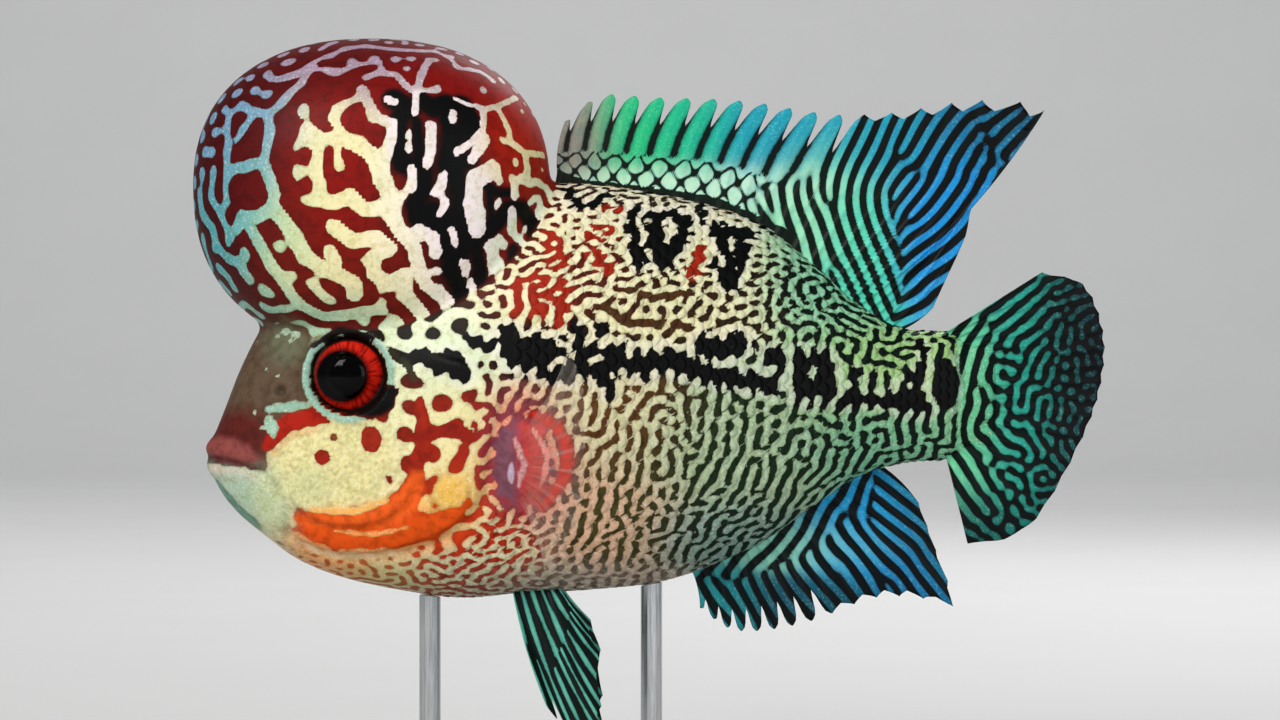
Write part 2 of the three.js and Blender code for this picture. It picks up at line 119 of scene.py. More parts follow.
# x, top, bottom, half width, height of the widest point, pinch of the back, pinch of the belly, in mm
BODY = [
    (-47.2, 55.4, 53.9, 0.6, 54.6, 1.0, 1.0), (-46.6, 57.4, 51.6, 3.7, 54.4, 0.8, 0.8),
    (-45.1, 61.2, 48.8, 5.6, 54.2, 0.85, 0.8), (-42.6, 67.6, 46.0, 7.4, 54.6, 0.95, 0.8),
    (-39.4, 73.4, 43.4, 8.9, 55.8, 1.05, 0.8), (-34.7, 77.6, 40.0, 10.3, 57.4, 1.15, 0.85),
    (-28.4, 80.6, 37.5, 11.8, 58.6, 1.2, 0.9), (-20.0, 84.2, 35.7, 13.3, 59.6, 1.2, 0.9),
    (-12.0, 88.8, 34.8, 14.4, 60.2, 1.15, 0.9), (-4.0, 92.4, 35.4, 14.7, 60.8, 1.15, 0.9),
    (6.0, 92.6, 35.9, 14.4, 61.4, 1.15, 0.9), (17.0, 91.0, 37.3, 13.5, 62.2, 1.15, 0.95),
    (28.7, 87.6, 41.8, 11.5, 62.8, 1.15, 1.0), (36.5, 82.0, 47.0, 9.3, 63.2, 1.1, 1.0),
    (43.5, 75.8, 51.6, 6.9, 63.4, 1.05, 1.0), (50.0, 72.4, 53.5, 4.9, 63.4, 1.0, 1.0),
    (56.0, 72.1, 54.1, 3.5, 63.2, 1.0, 1.0), (59.0, 70.4, 55.6, 2.4, 63.2, 1.0, 1.0),
]
HUMP = {"x": -24.6, "z": 92.1, "long": 24.9, "up": 20.8, "down": 22.6, "wide": 17.2, "fullness": 2.3}
EYE = {"x": -27.0, "z": 65.9, "radius": 5.2, "depth": 3.7, "proud": 1.35}
TAIL_BEND = {"start": 4.0, "rate": 0.0011}

body_table = sections(BODY, np.linspace(0, len(BODY) - 1, 900))


def body_at(x):
    """The body's section at x: top, bottom, half width, height of the widest point, and the two pinches."""
    return [np.interp(x, body_table[:, 0], body_table[:, column]) for column in range(1, 7)]


depths = body_table[:, 1] - body_table[:, 2]
print("body sections:", len(BODY), "greatest depth in mm:", round(float(depths.max()), 1))

# %% [markdown]
# Folds, marks and scales are all drawn as seen from the side, so it helps to know how thick the fish is
# at any point of its side view. The tail swings a little to the far side. That bend comes last on every
# piece, so the tables can describe a straight fish.


# %% Where a point lies on the fish
def half_width_at(x, z):
    """The body's half width at points of its side view."""
    top, bottom, half, middle, back, belly = body_at(x)
    above = z > middle
    reach = np.where(above, top - middle, middle - bottom)
    up = np.clip(np.abs(z - middle) / reach, 0, 1)
    return half * np.sqrt(1 - up * up) ** np.where(above, back, belly)


def hump_fill(x, y, z):
    """How far out a point lies in the hump: 0 in its middle, 1 on its surface and more outside."""
    height = np.where(z > HUMP["z"], HUMP["up"], HUMP["down"])
    parts = ((x - HUMP["x"]) / HUMP["long"], y / HUMP["wide"], (z - HUMP["z"]) / height)
    return sum(np.abs(part) ** HUMP["fullness"] for part in parts)


def bend_tail(points):
    """The tail swings to the fish's right, with everything on it."""
    bent = points.copy()
    bent[:, 1] += TAIL_BEND["rate"] * np.clip(points[:, 0] - TAIL_BEND["start"], 0, None) ** 2
    return bent


print("half width behind the gill cover in mm:", round(float(half_width_at(-4.0, 58.0)), 1))

# %% [markdown]
# Every form is worked out as an array of points in millimetres, which is quick and easy to read. These
# helpers pass arrays to Blender and back, and keep values on the points of a piece for node trees and
# shaders.

# %% Meshes from arrays
FIELDS = {"FLOAT": "value", "FLOAT_VECTOR": "vector", "FLOAT_COLOR": "color"}


def shade_smooth(piece):
    """Shades a piece as one round surface."""
    piece.data.polygons.foreach_set("use_smooth", [True] * len(piece.data.polygons))


def new_piece(name, points, faces, material=None):
    """A mesh object from points in mm. Its place is in its mesh."""
    mesh = bpy.data.meshes.new(name)
    mesh.from_pydata((np.asarray(points, float) * MM).tolist(), [], faces)
    mesh.validate()
    mesh.update()
    piece = bpy.data.objects.new(name, mesh)
    bpy.context.scene.collection.objects.link(piece)
    shade_smooth(piece)
    if material:
        mesh.materials.append(material)
    return piece


def vectors_of(data, field):
    """The vectors of a list of Blender's, as an array."""
    flat = np.empty(len(data) * 3, np.float32)
    data.foreach_get(field, flat)
    return flat.reshape(-1, 3).astype(float)


def points_of(piece):
    """The points of a piece, in mm."""
    return vectors_of(piece.data.vertices, "co") / MM


def normals_of(piece):
    """The outward direction at each point of a piece."""
    return vectors_of(piece.data.vertex_normals, "vector")


def put_points(piece, points):
    """Moves the points of a piece, given in mm."""
    piece.data.vertices.foreach_set("co", (points * MM).astype(np.float32).ravel())
    piece.data.update()


def face_outwards(piece):
    """Turns every face of a closed piece outwards."""
    work = bmesh.new()
    work.from_mesh(piece.data)
    bmesh.ops.recalc_face_normals(work, faces=work.faces)
    work.to_mesh(piece.data)
    work.free()


def store(piece, kind, **layers):
    """Keeps named values on the points of a piece."""
    for name, values in layers.items():
        layer = piece.data.attributes.new(name, kind, "POINT")
        layer.data.foreach_set(FIELDS[kind], np.asarray(values, np.float32).ravel())


def opaque(colour):
    """Colours of points with an alpha of 1 added, as a colour layer needs."""
    return np.column_stack([np.clip(colour, 0, 1), np.ones(len(colour))])


print("kinds of layer:", *FIELDS)

# %% [markdown]
# The skin of a live fish has no joints: hump, cheek, flank and tail stalk run into one another. So the
# body, the hump and the two lips are first lofted apart, each from rings of points between two poles.
# They overlap freely, because the next step melts them together.

# %% Loft the body, the hump and the lips
TAIL_WEDGE = [(61.2, 70.8, 55.0, 1.5, 63.0, 1.0, 1.0), (63.4, 71.4, 54.2, 0.75, 63.0, 1.0, 1.0)]
# height above the line of the mouth, radius
LIPS = [(1.25, 1.45), (-1.25, 1.35)]


def round_form(sides, rings, place):
    """A closed form of rings between two poles. place(turn, along) takes arrays and gives points."""
    turn = np.linspace(0, 1, sides, endpoint=False)
    points = [place(np.zeros(1), np.zeros(1))]
    for ring in range(1, rings):
        points.append(place(turn, np.full(sides, ring / rings)))
    points.append(place(np.zeros(1), np.ones(1)))
    points = np.vstack(points)
    last = len(points) - 1
    faces = []
    for k in range(sides):
        n = (k + 1) % sides
        faces.append((0, 1 + k, 1 + n))
        faces.append((last, last - sides + n, last - sides + k))
        for ring in range(rings - 2):
            a = 1 + ring * sides
            faces.append((a + k, a + sides + k, a + sides + n, a + n))
    return points, faces


def body_place(turn, along):
    """The body and its wedge inside the tail fin."""
    rows = BODY + TAIL_WEDGE
    x, top, bottom, half, middle, back, belly = sections(rows, along * (len(rows) - 1)).T
    if np.all((along <= 0) | (along >= 1)):
        return np.column_stack([x, np.zeros_like(x), middle])
    angle = turn * 2 * np.pi
    up, out = np.sin(angle), np.cos(angle)
    pinch = np.where(up > 0, back, belly)
    reach = np.where(up > 0, top - middle, middle - bottom)
    return np.column_stack([x, half * np.sign(out) * np.abs(out) ** pinch, middle + reach * up])


def swell(value):
    """A sine or cosine made fuller, so that a ball turns into a plump cushion."""
    return np.sign(value) * np.abs(value) ** (2 / HUMP["fullness"])


def hump_place(turn, along):
    """The hump, a cushion that is longer than it is wide."""
    rise, flat = swell(np.cos(along * np.pi)), swell(np.sin(along * np.pi))
    angle = turn * 2 * np.pi
    high = np.where(rise > 0, HUMP["up"], HUMP["down"])
    return np.column_stack([
        HUMP["x"] + HUMP["long"] * flat * swell(np.cos(angle)),
        HUMP["wide"] * flat * swell(np.sin(angle)),
        HUMP["z"] + high * rise,
    ])


def lip_place(lift, radius):
    """A lip is a tube round the front of the mouth, thickest in the middle."""
    def place(turn, along):
        share = along * 2 - 1
        bow = np.abs(share) ** 1.7
        x = -46.3 + 6.6 * bow
        z = 54.5 - 1.5 * bow + lift
        y = np.sign(share) * np.clip(half_width_at(x, z) - 0.35, 0, None)
        thick = radius * np.clip(1 - np.abs(share) ** 5, 0, 1) ** 0.5 + 0.01
        angle = turn * 2 * np.pi
        return np.column_stack([
            x - thick * np.cos(angle) * 0.9,
            y + share * thick * np.cos(angle) * 0.5,
            z + thick * np.sin(angle),
        ])
    return place


forms = [round_form(120, 170, body_place), round_form(110, 90, hump_place)]
forms += [round_form(20, 60, lip_place(lift, radius)) for lift, radius in LIPS]
all_points, all_faces = [], []
for form_points, form_faces in forms:
    first = sum(len(earlier) for earlier in all_points)
    all_points.append(form_points)
    all_faces += [tuple(first + i for i in face) for face in form_faces]
skin = new_piece("skin", np.vstack(all_points), all_faces)
face_outwards(skin)
print("forms:", len(forms), "points:", len(skin.data.vertices))

# %% [markdown]
# A voxel remesh lays a grid of small cubes through the forms and wraps one closed surface round them all.
# A few rounds of relaxing take out the steps of the grid. More rounds along the crease, where the hump
# sits on the face, make the two flow together.

# %% Melt the forms into one skin
VOXEL = 0.475


def applied(piece):
    """The piece with its modifiers turned into plain mesh."""
    graph = bpy.context.evaluated_depsgraph_get()
    mesh = bpy.data.meshes.new_from_object(piece.evaluated_get(graph))
    old = piece.data
    piece.modifiers.clear()
    piece.data = mesh
    bpy.data.meshes.remove(old)
    mesh.name = piece.name
    return piece


def relax(points, edges, rounds, amount):
    """Moves every point towards the middle of its neighbours."""
    count = np.bincount(edges.ravel(), minlength=len(points)).astype(float)
    for _ in range(rounds):
        middle = np.empty_like(points)
        for axis in range(3):
            pulls = np.bincount(edges[:, 0], points[edges[:, 1], axis], len(points))
            pulls += np.bincount(edges[:, 1], points[edges[:, 0], axis], len(points))
            middle[:, axis] = pulls / count
        weight = amount if np.isscalar(amount) else amount[:, None]
        points = points + (middle - points) * weight
    return points


melt = skin.modifiers.new("melt", "REMESH")
melt.mode = "VOXEL"
melt.voxel_size = VOXEL * MM
applied(skin)
skin_edges = np.empty(len(skin.data.edges) * 2, np.int32)
skin.data.edges.foreach_get("vertices", skin_edges)
skin_edges = skin_edges.reshape(-1, 2)
melted = points_of(skin)
rest = relax(melted, skin_edges, 10, 0.5)
crease = bell(hump_fill(*melted.T), 1.03, 0.09) * ease(86, 70, rest[:, 2])
rest = relax(rest, skin_edges, 14, 0.6 * crease)
put_points(skin, rest)
print("skin points:", len(rest), "faces:", len(skin.data.polygons))

# %% [markdown]
# The face is not smooth. The gill cover is a loose plate with a free edge, and the cheek bone under it
# has a second edge. The eye sits in a raised rim, and the root of the pectoral fin is a fold of bare
# flesh. Each is a small move of the skin along its own normals, drawn as seen from the side.

# %% Edges and folds of the head
GILL_EDGE = [(-34.6, 43.4), (-31.6, 42.0), (-28.7, 41.3), (-24.4, 41.3), (-20.2, 42.0), (-16.8, 43.0),
             (-13.7, 44.4), (-11.4, 46.2), (-9.6, 48.2), (-8.4, 50.6), (-7.9, 53.6), (-7.6, 56.4),
             (-6.9, 59.4), (-5.9, 62.2), (-6.2, 64.9), (-8.2, 67.0)]
CHEEK_EDGE = [(-17.9, 62.0), (-17.2, 59.4), (-16.9, 56.4), (-17.3, 52.2), (-18.7, 48.6), (-21.6, 46.4),
              (-25.0, 45.4), (-29.4, 45.5), (-32.6, 46.6)]
COVER = GILL_EDGE + [(-16, 69), (-30, 62), (-38, 52)]
CHEEK = CHEEK_EDGE + [(-36, 50), (-33, 60), (-22, 63)]
MOUTH_LINE = [(-47.2, 54.5), (-43.5, 53.9), (-40.2, 53.0), (-39.0, 52.2)]
JAW_LINE = [(-39.4, 52.6), (-37.2, 50.4), (-35.8, 47.2), (-35.6, 43.6)]
BROW_LINE = [(-33.6, 70.6), (-29.5, 72.6), (-24.5, 72.8), (-20.6, 70.0)]
NOSTRIL = {"x": -36.6, "z": 63.8}
# x, z, reach in x, reach in z
FIN_ROOT = (-2.9, 53.6, 3.9, 6.6)
RELIEF_END = 14


def line_distance(points, line):
    """The distance of side-view points to a line of points, and how far along it the nearest one is."""
    line = np.array(line, float)
    best, along = np.full(len(points), 1e9), np.zeros(len(points))
    for k in range(len(line) - 1):
        a, b = line[k], line[k + 1]
        t = np.clip(((points - a) @ (b - a)) / ((b - a) @ (b - a)), 0, 1)
        gap = np.hypot(*(points - (a + t[:, None] * (b - a))).T)
        nearer = gap < best
        best[nearer], along[nearer] = gap[nearer], (k + t[nearer]) / (len(line) - 1)
    return best, along


def inside(points, outline):
    """True for side-view points within a closed outline."""
    hit = np.zeros(len(points), bool)
    for (ax, az), (bx, bz) in zip(outline, outline[1:] + outline[:1]):
        crosses = (az > points[:, 1]) != (bz > points[:, 1])
        with np.errstate(divide="ignore", invalid="ignore"):
            edge = (bx - ax) * (points[:, 1] - az) / (bz - az) + ax
        hit ^= crosses & (points[:, 0] < edge)
    return hit


def signed(points, outline, edge):
    """The distance to an edge line, positive within the outline that it bounds."""
    gap, _ = line_distance(points, edge)
    return np.where(inside(points, outline), gap, -gap)


def face_relief(points):
    """How far each skin point moves outwards, in mm, from its side view."""
    near = points[:, 0] < RELIEF_END
    side = points[near][:, [0, 2]]
    x, z = side.T
    cover, cheek = signed(side, COVER, GILL_EDGE), signed(side, CHEEK, CHEEK_EDGE)
    relief = 0.55 * ease(-0.15, 0.6, cover) * ease(9, 3, cover) - 0.35 * bell(cover, -0.7, 0.7)
    relief += 0.45 * ease(-0.3, 0.6, cheek) * ease(8, 2, cheek) - 0.28 * bell(cheek, -0.8, 0.7)
    eye = np.hypot(x - EYE["x"], z - EYE["z"])
    relief += 0.75 * bell(eye, 6.1, 0.75) - 1.7 * ease(5.5, 4.7, eye)
    nostril = np.hypot(x - NOSTRIL["x"], z - NOSTRIL["z"])
    relief += 0.3 * bell(nostril, 1.15, 0.35) - 0.9 * ease(0.9, 0.35, nostril)
    folds = np.sin((x * 0.9 + 0.18 * (z - 53)) * 3.1 + np.sin(z * 0.7))
    relief += ease(1.1, 0.4, oval(x, z, *FIN_ROOT)) * (0.75 + 0.28 * folds) * ease(-0.3, 0.4, -cover)
    mouth, _ = line_distance(side, MOUTH_LINE)
    relief -= 0.75 * bell(mouth, 0, 0.38)
    jaw, _ = line_distance(side, JAW_LINE)
    relief += 0.2 * bell(jaw, 1.1, 0.6) - 0.32 * bell(jaw, 0, 0.5)
    brow, _ = line_distance(side, BROW_LINE)
    relief += 0.35 * bell(brow, 0, 0.9)
    move = np.zeros(len(points))
    move[near] = relief * ease(1.5, 5.0, np.abs(points[near, 1]))
    return move


relief = face_relief(rest)
skin_points = relax(rest + normals_of(skin) * relief[:, None], skin_edges, 1, 0.35)
put_points(skin, skin_points)
print("relief in mm:", round(float(relief.min()), 2), "to", round(float(relief.max()), 2))

# %% [markdown]
# The coat of a flowerhorn is a maze that pigment cells draw for themselves: each cell keeps its near
# neighbours like itself and its far ones unlike, which favours stripes of one width. A field of seeded
# noise goes through the same rule here. Each round keeps one band of wavelengths of the field and
# squeezes it to between -1 and 1, and a little new noise keeps it lively. Wavelength, slant and share of
# dark differ over the fish, so several bands run at once, and maps say where each one counts.

# %% Grow a maze from noise
CELL = 0.2


def cells_of(extent):
    """The cells of a chart with limits (low x, high x, low z, high z) in mm."""
    low_x, high_x, low_z, high_z = extent
    columns = int(round((high_x - low_x) / CELL)) + 1
    rows = int(round((high_z - low_z) / CELL)) + 1
    return np.meshgrid(np.linspace(low_x, high_x, columns), np.linspace(low_z, high_z, rows), indexing="ij")


def grow_maze(shape, seed, waves, bias, slant=None, strict=None, rounds=9, disorder=0.45, turns=10,
              spread=0.38):
    """A maze, pale below 0 and dark above.

    Waves are (wavelength, map of its share), and bias leans the maze towards dark. Where strict is 1 the
    stripes run along slant, in degrees, and where it is 0 they run as they like. Spread lets their widths
    differ, and disorder is the new noise of each round.
    """
    chance = np.random.default_rng(seed)
    field = chance.standard_normal(shape)
    fx = np.fft.fftfreq(shape[0], CELL)[:, None]
    fz = np.fft.rfftfreq(shape[1], CELL)[None, :]
    bands = []
    for wavelength, share in waves:
        free = np.exp(-(((np.hypot(fx, fz) * wavelength - 1) / spread) ** 2))
        bands.append((free, share if strict is None else share * (1 - strict)))
        for k in range(turns if strict is not None else 0):
            angle = k * 180 / turns
            a = math.radians(angle)
            along = fx * math.cos(a) + fz * math.sin(a)
            across = np.abs(-fx * math.sin(a) + fz * math.cos(a))
            off_width, off_line = (across * wavelength - 1) / (spread * 0.8), along * wavelength / 0.34
            band = np.exp(-(off_width ** 2) - off_line ** 2)
            miss = (slant - angle + 90) % 180 - 90
            bands.append((band, share * strict * 1.6 * np.exp(-((miss / (0.62 * 180 / turns)) ** 2))))
    for turn in range(rounds):
        spectrum = np.fft.rfft2(field)
        grown = sum(np.fft.irfft2(spectrum * band, s=shape) * share for band, share in bands)
        grown = grown / (grown.std() + 1e-9)
        field = np.tanh(2.4 * grown + bias)
        if turn < rounds - 1:
            field = field + disorder * chance.standard_normal(shape)
    return np.clip(grown + 0.45 * bias, -1.4, 1.4)


def sample(field, extent, u, v):
    """The value of a grown maze at points, between its cells."""
    i = np.clip((u - extent[0]) / CELL, 0, field.shape[0] - 1.001)
    j = np.clip((v - extent[2]) / CELL, 0, field.shape[1] - 1.001)
    i0, j0 = i.astype(int), j.astype(int)
    a, b = i - i0, j - j0
    return (field[i0, j0] * (1 - a) * (1 - b) + field[i0 + 1, j0] * a * (1 - b)
            + field[i0, j0 + 1] * (1 - a) * b + field[i0 + 1, j0 + 1] * a * b)


def linear(code):
    """A colour written as on a paint card, turned into the light that the shader needs."""
    channels = [int(code[k:k + 2], 16) / 255 for k in (1, 3, 5)]
    return np.array([c / 12.92 if c <= 0.04045 else ((c + 0.055) / 1.055) ** 2.4 for c in channels])


def zone_shares(zones, x, z):
    """How much each zone counts at points: more the nearer it is, and one in all."""
    weight = np.array([s * np.exp(-np.minimum((((x - cx) / rx) ** 2 + ((z - cz) / rz) ** 2), 60)) + 1e-12
                       for cx, cz, rx, rz, s, *_ in zones])
    return np.moveaxis(weight / weight.sum(0), 0, -1)


def zone_mix(zones, x, z):
    """The colours and the lean towards dark at points."""
    weight = zone_shares(zones, x, z)
    pale = weight @ np.array([linear(zone[5]) for zone in zones])
    deep = weight @ np.array([linear(zone[6]) for zone in zones])
    return pale, deep, weight @ np.array([zone[7] for zone in zones])


def zone_slant(zones, x, z):
    """The angle of the stripes at points, and how strictly they keep to it."""
    weight = zone_shares(zones, x, z)
    double = np.radians(2 * np.array([zone[5] for zone in zones]))
    east, north = weight @ np.cos(double), weight @ np.sin(double)
    return np.degrees(np.arctan2(north, east)) / 2, weight @ np.array([zone[6] for zone in zones])


print("cells in a square centimetre:", round((10 / CELL) ** 2))

# %% [markdown]
# The colours of the coat change slowly over the fish, from orange and cream under the head to green at
# the tail, with red and violet on the hump. A table of soft round zones gives each region a pale colour,
# a dark colour, and how far its maze leans towards dark. Everything blends between the zones.

# %% Colours and slants of the coat
# x, z, reach in x, reach in z, strength, pale colour, dark colour, lean towards dark
BODY_ZONES = [
    (-43.0, 62.0, 5.0, 7.0, 1.0, "#8a6a55", "#5a2418", -0.4),
    (-38.0, 70.0, 5.0, 5.0, 1.0, "#6f6a50", "#4a3526", -0.3),
    (-33.0, 66.0, 5.0, 5.0, 0.6, "#74705a", "#4b3a2a", -0.5),
    (-43.5, 48.5, 5.0, 5.0, 1.0, "#b4c9b0", "#5e8473", -0.5),
    (-38.5, 45.5, 4.0, 5.0, 1.0, "#c4cda4", "#7f9a78", -0.9),
    (-29.0, 54.0, 6.5, 6.0, 1.4, "#ece0a4", "#8e1808", -1.6),
    (-22.0, 59.0, 5.5, 5.5, 1.2, "#efe8b8", "#7c1c0c", -1.2),
    (-30.0, 44.8, 8.0, 2.6, 1.2, "#f58a3c", "#d43c0a", 0.7),
    (-20.0, 44.6, 8.0, 2.8, 1.3, "#f59440", "#dc480c", 0.6),
    (-12.0, 49.0, 4.0, 4.0, 1.0, "#f2c468", "#c23a10", -0.4),
    (-31.0, 39.0, 6.0, 2.6, 1.3, "#e6a566", "#c8602c", -1.5),
    (-22.0, 37.6, 6.0, 2.4, 1.3, "#d9cd92", "#b8703c", -1.5),
    (-12.0, 38.4, 7.0, 3.6, 1.3, "#d6d2ac", "#aa2416", -0.2),
    (-13.0, 57.5, 5.0, 6.0, 1.2, "#eadca2", "#9c200c", -0.4),
    (-16.0, 68.0, 9.0, 4.5, 1.0, "#dfe8c6", "#14140c", -0.7),
    (-2.6, 53.8, 4.2, 6.2, 2.2, "#e0554a", "#8c3c50", 0.3),
    (3.0, 81.0, 8.0, 8.0, 1.0, "#eee2ba", "#5c1a0c", -0.4),
    (18.5, 79.5, 10.0, 7.0, 1.0, "#e6dfb6", "#301a0c", -0.4),
    (18.5, 90.8, 15.0, 2.6, 1.4, "#f3e6cf", "#2c1a14", -1.6),
    (13.0, 72.6, 12.0, 2.6, 0.9, "#e6dcac", "#30200c", -0.6),
    (8.0, 60.0, 9.0, 6.0, 1.0, "#dccfa6", "#5e3818", -0.55),
    (7.0, 47.0, 9.0, 6.0, 1.0, "#dfb092", "#46421e", -0.5),
    (-6.5, 43.6, 4.6, 4.4, 1.2, "#e6dab0", "#c02c0e", -0.1),
    (25.0, 56.0, 11.0, 8.0, 1.0, "#aabf9c", "#142a12", -0.35),
    (24.0, 44.0, 8.0, 4.0, 1.0, "#7f9f98", "#0c221c", -0.2),
    (46.0, 67.0, 10.0, 6.0, 1.0, "#a0c880", "#04140a", -0.1),
    (40.0, 79.0, 8.0, 7.0, 1.0, "#84c8a4", "#06180e", -0.2),
    (46.0, 56.0, 9.0, 5.0, 1.0, "#76b894", "#061a10", -0.2),
    (0.0, 36.8, 14.0, 2.6, 1.2, "#c0b0a2", "#7c7064", -0.6),
]
HUMP_ZONES = [
    # the darker maroon of the front zones is partly the hump's own red and partly painted shade of its front
    (-43.0, 99.0, 8.0, 8.0, 1.0, "#6c8fb6", "#420406", 0.75),
    (-26.0, 110.0, 15.0, 4.5, 1.3, "#a084a0", "#560606", 1.25),
    (-46.0, 84.0, 6.0, 9.0, 1.0, "#4698a2", "#380608", 0.45),
    (-40.0, 92.0, 4.0, 8.0, 0.9, "#68b0ac", "#620a06", 0.7),
    (-35.0, 84.0, 4.5, 7.0, 1.0, "#b9d3a2", "#62140a", 0.2),
    (-29.0, 92.0, 6.0, 9.0, 1.2, "#efe2ac", "#840e06", 0.4),
    (-27.0, 79.0, 8.0, 5.0, 1.0, "#efe2b0", "#74160a", 0.0),
    (-30.0, 74.4, 8.0, 2.4, 1.0, "#8cc0a8", "#541208", -0.1),
    (-19.5, 88.0, 3.6, 10.0, 1.2, "#f4ebc8", "#74140a", -0.9),
    (-13.5, 92.0, 5.6, 11.0, 1.4, "#f3e4e6", "#200404", 0.25),
    (-13.0, 105.5, 9.0, 5.0, 1.3, "#b09aa0", "#8c0c06", 2.6),
    (-4.6, 98.0, 4.0, 6.0, 1.2, "#ecd49c", "#a81c06", 0.7),
    (-3.6, 85.0, 4.0, 7.0, 1.2, "#dfe4cc", "#7c1808", -0.4),
    (-40.0, 75.5, 5.0, 3.0, 1.0, "#7cb0a2", "#4c100a", 0.1),
]
# x, z, reach in x, reach in z, strength, angle of the stripes, how strictly they keep to it
SLANTS = [
    (8, 60, 10, 8, 1.0, 84, 0.12), (8, 46, 12, 7, 1.0, 86, 0.2), (6, 80, 10, 9, 1.0, 60, 0.0),
    (-10, 50, 8, 16, 1.0, 60, 0.0), (29, 78, 7, 7, 1.0, -78, 0.0), (38, 72, 6, 6, 1.0, -74, 0.1),
    (30, 56, 10, 7, 1.0, 82, 0.2), (43, 57, 7, 5, 1.0, 84, 0.15), (49, 66, 6, 4, 1.0, 86, 0.2),
    (22, 44, 8, 5, 1.0, 70, 0.12), (36, 49, 5, 4, 1.0, 58, 0.3), (47, 71, 5, 2.5, 1.0, 60, 0.1),
]
print("zones of the coat:", len(BODY_ZONES) + len(HUMP_ZONES))
